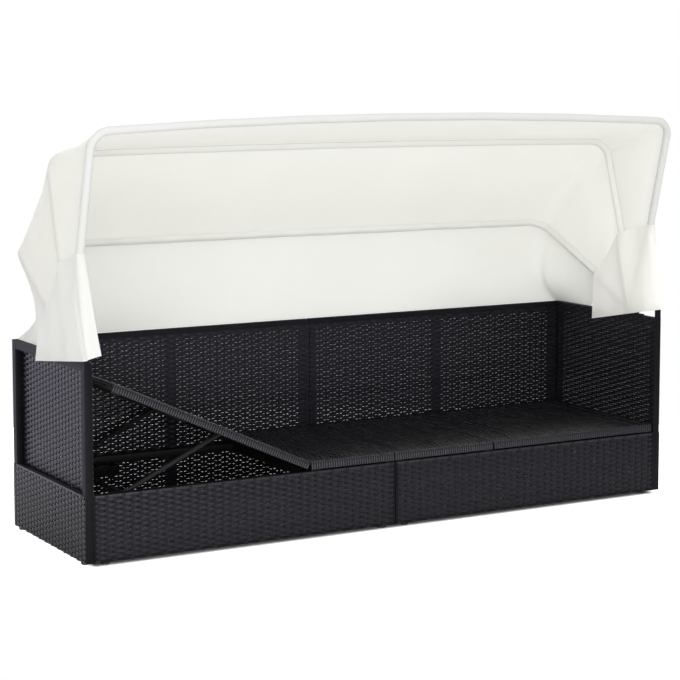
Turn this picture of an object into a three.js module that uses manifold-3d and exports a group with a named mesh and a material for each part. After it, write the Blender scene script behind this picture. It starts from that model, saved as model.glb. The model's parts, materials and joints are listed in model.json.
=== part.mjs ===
// An outdoor daybed with a folding canopy: two base modules, two end frames and a back of steel tube
// under wicker, a seat of four panels whose outer two lift as backrests on a leg and a notched rack,
// and a hood of three bows on one pivot line, with its cloth.
// Millimetres, +Z up, X along the bed and Y towards its back.
// The origin is on the ground, under the middle of the overall box.
import * as THREE from "three";
import { mergeVertices } from "three/addons/utils/BufferGeometryUtils.js";
import Module from "manifold-3d";

const wasm = await Module();
wasm.setup();

// Overall sizes
const length = 2000;
const depth = 560;
const sideTop = 570;
const boxTop = 197;
const seatTop = 225;
const footHeight = 8;

// Gaps between fixed neighbours, and round a shaft
const gap = 0.3;
const shaftGap = 0.1;
const moduleGap = 3;

// Woven skins
const weaveThick = 2.7;
const skin = weaveThick + gap;

// Tubes of the end frames, the base modules and the back
const endTubeWide = 22;
const postDeep = 25;
const railTall = 25;
const baseTube = 25;
const backTubeDeep = 20;
const backRailTall = 30;
const backStile = 25;
const backWeaveLap = 18;

// Places that follow from these
const halfLength = length / 2;
const front = -depth / 2;
const back = depth / 2;
const endOuter = halfLength - skin;
const endInner = endOuter - endTubeWide;
const baseInner = moduleGap / 2;
const baseOuter = endInner - gap;
const baseFront = front + skin;
const backTubeFront = back - backTubeDeep;
const backWeaveFront = backTubeFront - skin;
const baseBack = backWeaveFront - gap;
const midRailTop = boxTop;
const midRailLow = boxTop - railTall;

// Seat panels, in the frame of their hinge line: x runs outwards from it, z up from it
const panelThick = 24;
const panelTube = 25;
const panelInset = 6;
const panelFront = front + panelInset;
const panelBack = backWeaveFront - panelInset;
const hingeDepth = 5;
const hingeZ = seatTop - hingeDepth;
const hingeAt = { left: 288, right: 356 };
const hingeGap = 2.6;
const panelEndGap = 2.5;
const backrestOuter = endInner - skin - panelEndGap;
const panelLow = hingeDepth - panelThick;
const panelFrameTop = hingeDepth - skin;
const padGap = hingeZ + panelLow - boxTop;
const padLong = 30;
const panelBarWide = 25;
const panelStrapWide = 30;
const panelStrapThick = 4;
const panelBarShare = 0.22;
const panelStrapShare = 0.72;

// Hinge rod and its knuckles, which lie in the seam
const hingeRodRadius = 2.4;
const knuckleRadius = 4.7;
const knuckleLong = 20;
const knuckleGap = 0.5;
const knuckleEdge = 82;

// Backrest angles, in degrees
const backrestAngle = { left: 24.5, right: 0 };

// Support leg: its pivot as a share of the backrest, its length as a share of the pivot's distance,
// and its turn for each turn of the backrest
const legPivotShare = 0.43;
const legLengthShare = 1.18;
const legTurnShare = 1.86;
const legLine = 32;
const legTube = 7;
const legBend = 20;
const legEyeRadius = 9.5;
const legEyeLong = 12;
const legSideGap = 1;
const pivotRodRadius = 4;
const pivotRodInset = 20;

// Notched racks under the leg's foot
const rackWide = 44;
const rackTall = 30;
const rackRunOut = 18;
const notchAngles = [50, 42, 34, 24.5, 13];
const notchDeep = 6;
const notchSlope = 14;

// Feet
const footRadius = 12;
const footEdge = 2;
const footInset = 38;

// Joining bolts between the modules and the end frames
const joinRadius = 4;
const joinHead = 7;
const joinHeadThick = 5.5;
const joinDeep = 15;
const joinHoleDeep = 17;
const joinHeight = { front: 100, rear: 400 };

// Canopy pivot, on a bracket on each end frame
const pivotY = -160;
const pivotAbove = 22;
const pivotZ = sideTop + pivotAbove;
const bracketPlate = 4;
const bracketRound = 13;
const bracketFoot = 35;
const bracketFootThick = 3;
const bracketInset = 4.2;
const boltRadius = 5;
const boltHead = 9;
const boltHeadThick = 5;
const armPlate = 4;
const armPlateWide = 18;
const armPlateLong = 125;
const armPlateLap = 15;
const armTubeStart = armPlateLong - armPlateLap;

// Bows: lean from upright, reach of the centre line, how far the arms draw in and rise of the middle
const bowTube = 8;
const bowBend = 55;
const bows = {
  front: { lean: -15, reach: 636, drawIn: 2.5, rise: 25, stack: 1, hem: 287 },
  middle: { lean: 17, reach: 561, drawIn: 2.2, rise: 8, stack: 2, hem: 253 },
  rear: { lean: 63.5, reach: 554, drawIn: 20, rise: 4, stack: 3, hem: 215 },
};
const bracketOuter = endOuter - bracketInset;
const armPitch = armPlate + gap;

// Canopy cloth
const clothThick = 2;
const clothGap = 0.5;
const clothLift = bowTube + clothGap + clothThick / 2;
const clothEdge = 1.6;
const topSag = 9;
const sideSag = 10;
const curtainDrawIn = 62;
const curtainDrawForward = 15;
const curtainSkew = 1.5;
const curtainFoldDeep = 14;
const curtainFolds = 3;
const curtainEdgeShare = 0.015;
const curtainHem = 2.2;
const curtainBack = 5;
const curtainCorner = 20;
const curtainFrontEdge = 78;
const skirtOut = 5;
const skirtFrontOut = 22;
const skirtRear = 75;
const skirtLift = 16;
const skirtDrop = 38;
const skirtFoldDeep = 2;
const skirtFolds = 3;
const skirtEdgeShare = 0.006;
const skirtCurlIn = 47;
const skirtCurlLift = 5;
const skirtCurlShare = 0.14;
const innerSkirtClear = 0.9;
const innerSkirtAhead = 33;
const innerSkirtLift = 31;
const innerSkirtDrop = 35;
const innerTurnShare = 0.2;

// Overrun of a cutting solid, and the facets of round pieces
const overrun = 1;
const roundSides = 24;
const tubeSides = 10;
const footSides = 16;
const pathSteps = 50;

// Solid helpers
const degrees = THREE.MathUtils.degToRad;

function solidOf(geometry) {
  const bare = geometry.clone();
  bare.deleteAttribute("normal");
  bare.deleteAttribute("uv");
  const merged = mergeVertices(bare, clothThick / 1000);
  return new wasm.Manifold(
    new wasm.Mesh({
      numProp: 3,
      vertProperties: new Float32Array(merged.attributes.position.array),
      triVerts: new Uint32Array(merged.index.array),
    }),
  );
}

function geometryOf(solid) {
  const mesh = solid.getMesh();
  const geometry = new THREE.BufferGeometry();
  geometry.setAttribute("position", new THREE.BufferAttribute(mesh.vertProperties, 3));
  geometry.setIndex(new THREE.BufferAttribute(mesh.triVerts, 1));
  geometry.computeVertexNormals();
  return geometry;
}

function block([x0, x1], [y0, y1], [z0, z1]) {
  const shape = new THREE.BoxGeometry(x1 - x0, y1 - y0, z1 - z0);
  shape.translate((x0 + x1) / 2, (y0 + y1) / 2, (z0 + z1) / 2);
  return solidOf(shape);
}

function rodAlongY(radius, [y0, y1], x, z, sides = roundSides) {
  const shape = new THREE.CylinderGeometry(radius, radius, y1 - y0, sides);
  shape.translate(x, (y0 + y1) / 2, z);
  return solidOf(shape);
}

function rodAlongX(radius, [x0, x1], y, z, sides = roundSides) {
  const shape = new THREE.CylinderGeometry(radius, radius, x1 - x0, sides);
  shape.rotateZ(Math.PI / 2);
  shape.translate((x0 + x1) / 2, y, z);
  return solidOf(shape);
}

function joined(solids) {
  return solids.reduce((whole, piece) => whole.add(piece));
}

function cutBy(solid, tools) {
  return tools.reduce((whole, tool) => whole.subtract(tool), solid);
}

// The span between two distances from the middle, on the side given as -1 or 1
function across(side, near, far) {
  return side < 0 ? [-far, -near] : [near, far];
}

function centred(middle, wide) {
  return [middle - wide / 2, middle + wide / 2];
}

// A path whose points are taken at chosen stations, so that straight runs need no extra rings
class StationPath extends THREE.Curve {
  constructor(pointAt, stations) {
    super();
    this.pointAt = pointAt;
    this.stations = stations;
  }

  getPoint(t) {
    const last = this.stations.length - 1;
    const place = Math.min(Math.max(t, 0), 1) * last;
    const low = Math.min(Math.floor(place), last - 1);
    const share = this.stations[low] + (this.stations[low + 1] - this.stations[low]) * (place - low);
    return this.pointAt(share);
  }

  getUtoTmapping(u) {
    return u;
  }
}

function tubeAlong(path, radius, sides = tubeSides) {
  const section = new THREE.Shape();
  for (let i = 0; i < sides; i += 1) {
    const turn = (2 * Math.PI * i) / sides;
    const x = radius * Math.cos(turn);
    const y = radius * Math.sin(turn);
    if (i === 0) section.moveTo(x, y);
    else section.lineTo(x, y);
  }
  section.closePath();
  return solidOf(
    new THREE.ExtrudeGeometry(section, {
      steps: path.stations.length - 1,
      extrudePath: path,
      curveSegments: 1,
      bevelEnabled: false,
    }),
  );
}

// A closed thin sheet over a surface given by two shares, with its rows and columns at chosen shares
function sheet(surface, columns, rows, thick = clothThick) {
  const step = 1e-4;
  const points = [];
  for (const layer of [-1, 1]) {
    for (const v of rows) {
      for (const u of columns) {
        const here = surface(u, v);
        const alongU = surface(u + step, v).sub(surface(u - step, v));
        const alongV = surface(u, v + step).sub(surface(u, v - step));
        const outward = alongU.cross(alongV).normalize();
        here.addScaledVector(outward, (layer * thick) / 2);
        points.push(here.x, here.y, here.z);
      }
    }
  }
  const wide = columns.length;
  const layerSize = wide * rows.length;
  const at = (layer, row, column) => layer * layerSize + row * wide + column;
  const faces = [];
  const quad = (a, b, c, d) => faces.push(a, b, c, a, c, d);
  for (let row = 0; row < rows.length - 1; row += 1) {
    for (let column = 0; column < wide - 1; column += 1) {
      quad(at(1, row, column), at(1, row, column + 1), at(1, row + 1, column + 1), at(1, row + 1, column));
      quad(at(0, row, column), at(0, row + 1, column), at(0, row + 1, column + 1), at(0, row, column + 1));
    }
  }
  const lastRow = rows.length - 1;
  for (let column = 0; column < wide - 1; column += 1) {
    quad(at(0, 0, column), at(0, 0, column + 1), at(1, 0, column + 1), at(1, 0, column));
    quad(at(0, lastRow, column + 1), at(0, lastRow, column), at(1, lastRow, column), at(1, lastRow, column + 1));
  }
  const lastColumn = wide - 1;
  for (let row = 0; row < lastRow; row += 1) {
    quad(at(0, row + 1, 0), at(0, row, 0), at(1, row, 0), at(1, row + 1, 0));
    quad(at(0, row, lastColumn), at(0, row + 1, lastColumn), at(1, row + 1, lastColumn), at(1, row, lastColumn));
  }
  const geometry = new THREE.BufferGeometry();
  geometry.setAttribute("position", new THREE.BufferAttribute(new Float32Array(points), 3));
  geometry.setIndex(faces);
  const solid = solidOf(geometry);
  if (solid.volume() > 0) return solid;
  for (let i = 0; i < faces.length; i += 3) [faces[i + 1], faces[i + 2]] = [faces[i + 2], faces[i + 1]];
  geometry.setIndex(faces);
  return solidOf(geometry);
}

function evenShares(from, to, steps) {
  return Array.from({ length: steps + 1 }, (unused, i) => from + ((to - from) * i) / steps);
}

// Finishes
const finishes = {
  wicker: { color: 0x2d2b30, roughness: 0.55, metalness: 0 },
  steel: { color: 0x1d1d20, roughness: 0.5, metalness: 0.4 },
  bare: { color: 0x8d8f92, roughness: 0.35, metalness: 0.9 },
  bow: { color: 0xdeded6, roughness: 0.5, metalness: 0.2 },
  cloth: { color: 0xf2f2ec, roughness: 0.9, metalness: 0 },
  plastic: { color: 0x161618, roughness: 0.6, metalness: 0 },
};

const daybed = new THREE.Group();

function place(parent, name, solid, finish) {
  const mesh = new THREE.Mesh(geometryOf(solid), new THREE.MeshStandardMaterial(finishes[finish]));
  mesh.name = name;
  parent.add(mesh);
}

// Base modules: a box of tubes, open below, with a cross rail under the hinge line
function baseFrame(side, hingeX) {
  const whole = across(side, baseInner, baseOuter);
  const frontTube = [baseFront, baseFront + baseTube];
  const backTube = [baseBack - baseTube, baseBack];
  const lowRail = [footHeight, footHeight + baseTube];
  const topRail = [boxTop - baseTube, boxTop];
  const inEnd = across(side, baseInner, baseInner + baseTube);
  const outEnd = across(side, baseOuter - baseTube, baseOuter);
  const hingeRail = across(side, hingeX - baseTube, hingeX);
  const upright = [footHeight, boxTop];
  const fullDepth = [baseFront, baseBack];
  const solids = [];
  for (const tube of [frontTube, backTube]) {
    solids.push(block(whole, tube, lowRail));
    solids.push(block(whole, tube, topRail));
    solids.push(block(inEnd, tube, upright));
    solids.push(block(outEnd, tube, upright));
  }
  solids.push(block(inEnd, fullDepth, lowRail));
  solids.push(block(inEnd, fullDepth, topRail));
  solids.push(block(outEnd, fullDepth, lowRail));
  solids.push(block(hingeRail, fullDepth, topRail));
  return joined(solids);
}

function footAt(x, y) {
  const top = footHeight - gap;
  const profile = [
    [0, 0],
    [footRadius - footEdge, 0],
    [footRadius, footEdge],
    [footRadius, top - footEdge],
    [footRadius - footEdge, top],
    [0, top],
  ];
  const shape = new THREE.LatheGeometry(profile.map(([r, z]) => new THREE.Vector2(r, z)), footSides);
  shape.rotateX(Math.PI / 2);
  shape.translate(x, y, 0);
  return solidOf(shape);
}

function joinBolt(side, from, to, y, z) {
  const head = across(side, from - joinHeadThick - gap, from - gap);
  const shank = across(side, from - gap, to);
  return joined([rodAlongX(joinHead, head, y, z, 6), rodAlongX(joinRadius, shank, y, z)]);
}

const joinY = { front: baseFront + (postDeep - skin) / 2, rear: back - backTubeDeep / 2 };

function joinHole(side, from, to, y, z) {
  return rodAlongX(joinRadius + shaftGap, across(side, from, to), y, z);
}

// End frames: two posts and three rails, with a recessed upper weave and a flush lower one
function endFrame(side) {
  const wide = across(side, endInner, endOuter);
  const whole = [front, back];
  const solids = [
    block(wide, [front, front + postDeep], [footHeight, sideTop]),
    block(wide, [back - postDeep, back], [footHeight, sideTop]),
    block(wide, whole, [footHeight, footHeight + railTall]),
    block(wide, whole, [midRailLow, midRailTop]),
    block(wide, whole, [sideTop - railTall, sideTop]),
  ];
  const holes = [];
  for (const end of ["front", "rear"]) {
    holes.push(joinHole(side, endInner - overrun, endInner + joinHoleDeep, joinY[end], joinHeight[end]));
  }
  return cutBy(joined(solids), holes);
}

// The back: one frame of tubes for each module, woven on its inner face
function backFrame(side) {
  const whole = across(side, baseInner, baseOuter);
  const deep = [backTubeFront, back];
  const middle = (baseInner + baseOuter) / 2;
  const tall = [footHeight, sideTop];
  const solids = [
    block(whole, deep, [footHeight, footHeight + railTall]),
    block(whole, deep, [midRailLow, midRailTop]),
    block(whole, deep, [sideTop - backRailTall, sideTop]),
    block(across(side, baseInner, baseInner + backStile), deep, tall),
    block(across(side, middle - backStile / 2, middle + backStile / 2), deep, tall),
    block(across(side, baseOuter - backStile, baseOuter), deep, tall),
  ];
  const hole = joinHole(side, baseOuter - backStile - overrun, baseOuter + overrun, joinY.rear, joinHeight.rear);
  return cutBy(joined(solids), [hole]);
}

// Seat panels. Each is a frame under a woven slab, and x runs away from the hinge line.
const panelMiddle = (panelFront + panelBack) / 2;
const knuckles = [panelFront + knuckleEdge, panelBack - knuckleEdge];

// The knuckles of the fixed and of the moving panel lie side by side at each place
function knuckleSpan(place, moving) {
  const near = moving ? 0 : knuckleLong;
  const low = place - knuckleLong + near;
  return [low + knuckleGap / 2, low + knuckleLong - knuckleGap / 2];
}

function panelFrame(side, from, to, moving) {
  const tall = [panelLow, panelFrameTop];
  const deep = [panelFront, panelBack];
  const whole = across(side, from, to);
  const bar = from + (to - from) * panelBarShare;
  const strap = from + (to - from) * panelStrapShare;
  const solids = [
    block(whole, [panelFront, panelFront + panelTube], tall),
    block(whole, [panelBack - panelTube, panelBack], tall),
    block(across(side, from, from + panelTube), deep, tall),
    block(across(side, to - panelTube, to), deep, tall),
    block(across(side, bar, bar + panelBarWide), deep, tall),
    block(across(side, strap, strap + panelStrapWide), deep, [panelFrameTop - panelStrapThick, panelFrameTop]),
  ];
  const pads = moving ? [to - padLong] : [from, to - padLong];
  for (const start of pads) {
    for (const strip of [
      [panelFront, baseFront + baseTube],
      [baseBack - baseTube, panelBack],
    ]) {
      solids.push(block(across(side, start, start + padLong), strip, [panelLow - padGap + gap, panelLow]));
    }
  }
  const cuts = [];
  for (const middle of knuckles) {
    const own = knuckleSpan(middle, moving);
    const other = knuckleSpan(middle, !moving);
    solids.push(rodAlongY(knuckleRadius, own, 0, 0));
    cuts.push(rodAlongY(knuckleRadius + knuckleGap, [other[0] - knuckleGap, other[1] + knuckleGap], 0, 0));
  }
  let solid = joined(solids);
  solid = cutBy(solid, cuts);
  return cutBy(solid, [rodAlongY(hingeRodRadius + shaftGap, [panelFront, panelBack], 0, 0)]);
}

function panelWeave(side, from, to) {
  const slab = block(across(side, from, to), [panelFront, panelBack], [hingeDepth - weaveThick, hingeDepth]);
  const cuts = knuckles.map((middle) =>
    rodAlongY(knuckleRadius + knuckleGap, centred(middle, 2 * (knuckleLong + knuckleGap)), 0, 0),
  );
  return cutBy(slab, cuts);
}

// Support leg, in the frame of its pivot: x runs along its arms
const pivotLow = (panelLow + panelFrameTop) / 2;
const stileFront = panelFront + panelTube;
const stileBack = panelBack - panelTube;
const legHalf = (stileBack - stileFront) / 2 - legSideGap - legEyeLong / 2;

function legPath(reach) {
  const armShare = 0.3;
  const bendShare = 0.1;
  const pointAt = (share) => {
    const half = share < 0.5 ? share : 1 - share;
    const sign = share < 0.5 ? -1 : 1;
    const bendX = reach - legBend;
    const bendY = legHalf - legBend;
    if (half <= armShare) {
      return new THREE.Vector3((bendX * half) / armShare, panelMiddle + sign * legHalf, 0);
    }
    if (half <= armShare + bendShare) {
      const turn = ((half - armShare) / bendShare) * (Math.PI / 2);
      const x = bendX + legBend * Math.sin(turn);
      return new THREE.Vector3(x, panelMiddle + sign * (bendY + legBend * Math.cos(turn)), 0);
    }
    const bar = (half - armShare - bendShare) / (0.5 - armShare - bendShare);
    return new THREE.Vector3(reach, panelMiddle + sign * bendY * (1 - bar), 0);
  };
  const bend = evenShares(armShare, armShare + bendShare, 4);
  const otherBend = bend.map((share) => 1 - share).reverse();
  return new StationPath(pointAt, [0, ...bend, ...otherBend, 1]);
}

function supportLeg(side, reach) {
  const arms = tubeAlong(legPath(reach), legTube);
  const eyes = [];
  const bores = [];
  for (const sign of [-1, 1]) {
    const eye = centred(panelMiddle + sign * legHalf, legEyeLong);
    eyes.push(rodAlongY(legEyeRadius, eye, 0, 0));
    bores.push(rodAlongY(pivotRodRadius + shaftGap, [eye[0] - overrun, eye[1] + overrun], 0, 0));
  }
  const leg = cutBy(joined([arms, ...eyes]), bores);
  return side < 0 ? leg.rotate([0, 0, 180]).translate([0, 2 * panelMiddle, 0]) : leg;
}

// The pivot's distance from a hinge line
function pivotAt(hingeX) {
  return (backrestOuter - hingeX) * legPivotShare;
}

function pivotHoles(side, at) {
  const reach = [pivotRodInset, pivotRodInset];
  return [
    [stileFront - reach[0], stileFront + overrun],
    [stileBack - overrun, stileBack + reach[1]],
  ].map((span) => rodAlongY(pivotRodRadius + shaftGap, span, side * at, pivotLow));
}

// The foot's place for a backrest angle, from the hinge line
function footPlace(at, angle) {
  const reach = at * legLengthShare;
  const lift = degrees(angle);
  const flat = Math.asin((legLine + pivotLow) / reach);
  const fall = flat + lift * (legTurnShare - 1);
  const x = at * Math.cos(lift) - pivotLow * Math.sin(lift) + reach * Math.cos(fall);
  const z = at * Math.sin(lift) + pivotLow * Math.cos(lift) - reach * Math.sin(fall);
  return [x, z];
}

function legAngle(at, angle) {
  const flat = Math.asin((legLine + pivotLow) / (at * legLengthShare));
  return flat + degrees(angle) * legTurnShare;
}

// A rack: sloped notches, each under one place of the foot, whose tips just clear its path
function rack(side, at, end) {
  const places = notchAngles.map((angle) => footPlace(at, angle)[0]);
  const path = evenShares(0, notchAngles[0], pathSteps).map((angle) => footPlace(at, angle)[1]);
  const tip = Math.min(...path) - legTube - gap;
  const low = tip - rackTall;
  const ends = [places[0] - rackRunOut, footPlace(at, 0)[0] + rackRunOut];
  const outline = new THREE.Shape();
  outline.moveTo(ends[0], low);
  outline.lineTo(ends[1], low);
  outline.lineTo(ends[1], tip);
  for (const x of places.toReversed()) {
    outline.lineTo(x + legTube, tip);
    outline.lineTo(x + legTube, tip - notchDeep);
    outline.lineTo(x - legTube, tip - notchDeep);
    outline.lineTo(x - notchSlope, tip);
  }
  outline.lineTo(ends[0], tip);
  outline.closePath();
  const shape = new THREE.ExtrudeGeometry(outline, { depth: rackWide, bevelEnabled: false });
  shape.rotateX(Math.PI / 2);
  const rail = end === "front" ? baseFront + baseTube + gap : baseBack - baseTube - gap;
  shape.translate(0, end === "front" ? rail + rackWide : rail, 0);
  const bar = solidOf(shape);
  const turned = side < 0 ? bar.mirror([1, 0, 0]) : bar;
  return turned.translate([side * hingeAt[side < 0 ? "left" : "right"], 0, hingeZ]);
}

// Bows, in the frame of the pivot line: z runs along the bow's plane
const armX = (bow) => bracketOuter - bracketPlate / 2 - bow.stack * armPitch - (bracketPlate - armPlate) / 2;
const halfWidth = (bow) => armX(bow) - bow.drawIn;

function bowOutline(bow, start) {
  const armShare = 0.3;
  const bendShare = 0.1;
  const bendX = halfWidth(bow) - bowBend;
  const bendZ = bow.reach - bowBend;
  return (share) => {
    const half = share < 0.5 ? share : 1 - share;
    const sign = share < 0.5 ? -1 : 1;
    if (half <= armShare) {
      const z = start + ((bendZ - start) * half) / armShare;
      const splay = (z - armPlateLong) / (bendZ - armPlateLong);
      const x = armX(bow) + (halfWidth(bow) - armX(bow)) * Math.max(splay, 0);
      return { point: new THREE.Vector3(sign * x, 0, z), out: new THREE.Vector2(sign, 0) };
    }
    if (half <= armShare + bendShare) {
      const turn = ((half - armShare) / bendShare) * (Math.PI / 2);
      const x = bendX + bowBend * Math.cos(turn);
      const z = bendZ + bowBend * Math.sin(turn);
      return { point: new THREE.Vector3(sign * x, 0, z), out: new THREE.Vector2(sign * Math.cos(turn), Math.sin(turn)) };
    }
    const bar = 1 - (half - armShare - bendShare) / (0.5 - armShare - bendShare);
    const z = bow.reach + bow.rise * (1 - bar * bar);
    return { point: new THREE.Vector3(sign * bendX * bar, 0, z), out: new THREE.Vector2(0, 1) };
  };
}

const bendStations = evenShares(0.3, 0.4, 6);
const barStations = evenShares(0.4, 0.6, 8).slice(1, -1);
const farBendStations = evenShares(0.6, 0.7, 6);
const hoopStations = [...bendStations, ...barStations, ...farBendStations];

function bowSolid(bow) {
  const outline = bowOutline(bow, armTubeStart);
  const tube = tubeAlong(new StationPath((share) => outline(share).point, [0, ...hoopStations, 1]), bowTube);
  const solids = [tube];
  const bores = [];
  for (const side of [-1, 1]) {
    const flat = across(side, armX(bow) - armPlate / 2, armX(bow) + armPlate / 2);
    solids.push(block(flat, centred(0, armPlateWide), [0, armPlateLong]));
    solids.push(rodAlongX(armPlateWide / 2, flat, 0, 0));
    bores.push(rodAlongX(boltRadius + shaftGap, [flat[0] - overrun, flat[1] + overrun], 0, 0));
  }
  return cutBy(joined(solids), bores);
}

function bracket(side) {
  const plate = across(side, bracketOuter - bracketPlate, bracketOuter);
  const low = sideTop + gap;
  const solids = [
    block(plate, centred(pivotY, 2 * bracketRound), [low, pivotZ]),
    rodAlongX(bracketRound, plate, pivotY, pivotZ),
    block(across(side, endInner, endOuter), centred(pivotY, 2 * bracketFoot), [low, low + bracketFootThick]),
  ];
  const hole = rodAlongX(boltRadius + shaftGap, [plate[0] - overrun, plate[1] + overrun], pivotY, pivotZ);
  return cutBy(joined(solids), [hole]);
}

function pivotBolt(side) {
  const headSpan = across(side, bracketOuter + gap, bracketOuter + gap + boltHeadThick);
  const inner = armX(bows.rear) - armPlate / 2 - gap;
  const nutSpan = across(side, inner - boltHeadThick, inner);
  const shank = across(side, inner - boltHeadThick, bracketOuter + gap + boltHeadThick);
  return joined([
    rodAlongX(boltRadius, shank, pivotY, pivotZ),
    rodAlongX(boltHead, headSpan, pivotY, pivotZ, 6),
    rodAlongX(boltHead, nutSpan, pivotY, pivotZ, 6),
  ]);
}

// Cloth of the hood. A point of a bow's plane is turned to the bow's lean and set on the pivot line.
function leaned(vector, lean) {
  const turn = degrees(lean);
  const y = pivotY + vector.y * Math.cos(turn) + vector.z * Math.sin(turn);
  const z = pivotZ - vector.y * Math.sin(turn) + vector.z * Math.cos(turn);
  return new THREE.Vector3(vector.x, y, z);
}

const between = (share, low, high) => low + (high - low) * share;
const bulge = (v) => 4 * v * (1 - v);

// The outward direction of a cloth stretched between two lines, at a share of their length
function stretchNormal(lineA, lineB, u) {
  const step = 1e-4;
  const along = lineA(u + step).sub(lineA(u - step)).add(lineB(u + step)).sub(lineB(u - step));
  const normal = along.cross(lineB(u).sub(lineA(u))).normalize();
  return normal;
}

// One gore of the hood runs over the top and down both sides, between two bows
function hoodPanel(bowA, bowB) {
  const outlineA = bowOutline(bowA, bowA.hem);
  const outlineB = bowOutline(bowB, bowB.hem);
  const lineA = (u) => leaned(outlineA(u).point, bowA.lean);
  const lineB = (u) => leaned(outlineB(u).point, bowB.lean);
  const surface = (u, v) => {
    const side = Math.abs(outlineA(u).out.x);
    const lift = clothLift - bulge(v) * between(side, topSag, sideSag);
    return lineA(u).lerp(lineB(u), v).addScaledVector(stretchNormal(lineA, lineB, u), lift);
  };
  const edge = clothEdge / (bowA.reach * degrees(bowB.lean - bowA.lean));
  const rows = evenShares(edge, 1 - edge, 5);
  const arm = evenShares(0, 0.3, 3).slice(0, -1);
  const columns = [...arm, ...hoopStations, ...arm.map((share) => 1 - share).reverse()];
  return sheet(surface, columns, rows);
}

// The curtain is drawn in between the bow and the rails, most of all at its corners
function cornerPull(half) {
  if (half <= 0.3) return (half / 0.3) ** 2;
  if (half <= 0.4) return 1;
  return 1 - (half - 0.4) / 0.1;
}

// The rear curtain hangs from the rear bow, and its two ends turn forward along the end frames
function curtain() {
  const bow = bows.rear;
  const top = bowOutline(bow, bow.hem);
  const railY = back - curtainBack;
  const hemZ = sideTop + curtainHem;
  const hemX = (endInner + endOuter) / 2;
  const bowLine = (u) => leaned(top(u).point, bow.lean);
  const hem = (u) => {
    const half = u < 0.5 ? u : 1 - u;
    const sign = u < 0.5 ? -1 : 1;
    const bendY = railY - curtainCorner;
    const bendX = hemX - curtainCorner;
    if (half <= 0.3) return new THREE.Vector3(sign * hemX, between(half / 0.3, curtainFrontEdge, bendY), hemZ);
    if (half <= 0.4) {
      const turn = ((half - 0.3) / 0.1) * (Math.PI / 2);
      const x = bendX + curtainCorner * Math.cos(turn);
      return new THREE.Vector3(sign * x, bendY + curtainCorner * Math.sin(turn), hemZ);
    }
    return new THREE.Vector3(sign * bendX * (1 - (half - 0.4) / 0.1), railY, hemZ);
  };
  const surface = (u, v) => {
    const point = bowLine(u).addScaledVector(stretchNormal(bowLine, hem, u), clothLift);
    point.lerp(hem(u), v);
    const half = u < 0.5 ? u : 1 - u;
    const pull = bulge(v ** curtainSkew) * cornerPull(half);
    const barShare = Math.min(Math.max((u - 0.4) / 0.2, 0), 1);
    const fold = (1 - Math.cos(2 * Math.PI * curtainFolds * barShare)) / 2;
    point.x -= Math.sign(u - 0.5) * curtainDrawIn * pull;
    point.y -= curtainDrawForward * pull + curtainFoldDeep * fold * bulge(v);
    return point;
  };
  const arm = evenShares(0, 0.3, 4).slice(0, -1);
  const bar = evenShares(0.4, 0.6, 18).slice(1, -1);
  const hoop = [...bendStations, ...bar, ...farBendStations];
  const columns = [...arm, ...hoop, ...arm.map((share) => 1 - share).reverse()];
  return sheet(surface, columns, evenShares(curtainEdgeShare, 1, 6));
}

// The line where the hood's sides end, from the front bow over the middle bow to the rear bow
const hemCorners = [bows.front, bows.middle, bows.rear].map((bow) =>
  leaned(bowOutline(bow, bow.hem)(1).point, bow.lean),
);

function hemLine(share) {
  const place = Math.min(Math.max(share, 0), 1) * (hemCorners.length - 1);
  const low = Math.min(Math.floor(place), hemCorners.length - 2);
  return hemCorners[low].clone().lerp(hemCorners[low + 1], place - low);
}

function skirtWave(u, v) {
  return (skirtFoldDeep * v * (1 - Math.cos(2 * Math.PI * skirtFolds * u))) / 2;
}

const skirtLow = endOuter + skirtOut;
const skirtRows = evenShares(skirtEdgeShare, 1, 8);
const skirtColumns = [...evenShares(0, 0.2, 6), ...evenShares(0.2, 1, 14).slice(1)];

// The left skirt hangs outside the arms and the end frame, and its front edge curls round the post
function outerSkirt() {
  const surface = (u, v) => {
    const top = hemLine(u);
    const curl = Math.max(1 - u / skirtCurlShare, 0) ** 2;
    const sideShare = Math.max((u - skirtCurlShare) / (1 - skirtCurlShare), 0);
    const lowY = between(sideShare, front - skirtFrontOut, skirtRear);
    const lowZ = sideTop + between(u, skirtLift, -skirtDrop) + curl * skirtCurlLift;
    const flared = between(1 - (1 - v) ** 2, top.x + clothLift, skirtLow);
    const x = flared - curl * skirtCurlIn * v * v - skirtWave(sideShare, v);
    return new THREE.Vector3(-x, between(v, top.y, lowY), between(v, top.z, lowZ));
  };
  return sheet(surface, skirtColumns, skirtRows);
}

// The right skirt hangs inside the arms, and its front edge turns out in front of the front arm
function innerSkirt() {
  const inside = hemCorners[2].x - clothLift;
  const surface = (u, v) => {
    const top = hemLine(u);
    const turn = Math.max(1 - u / innerTurnShare, 0) ** 2;
    const lowX = between(turn, inside, skirtLow);
    const lowY = between(u, front - skirtFrontOut, skirtRear - innerSkirtAhead);
    const lowZ = sideTop + between(u, innerSkirtLift, -innerSkirtDrop);
    const x = between(v * v, top.x - clothLift - innerSkirtClear, lowX) - skirtWave(u, v);
    return new THREE.Vector3(x, between(v, top.y, lowY), between(v, top.z, lowZ));
  };
  return sheet(surface, skirtColumns, skirtRows);
}

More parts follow.
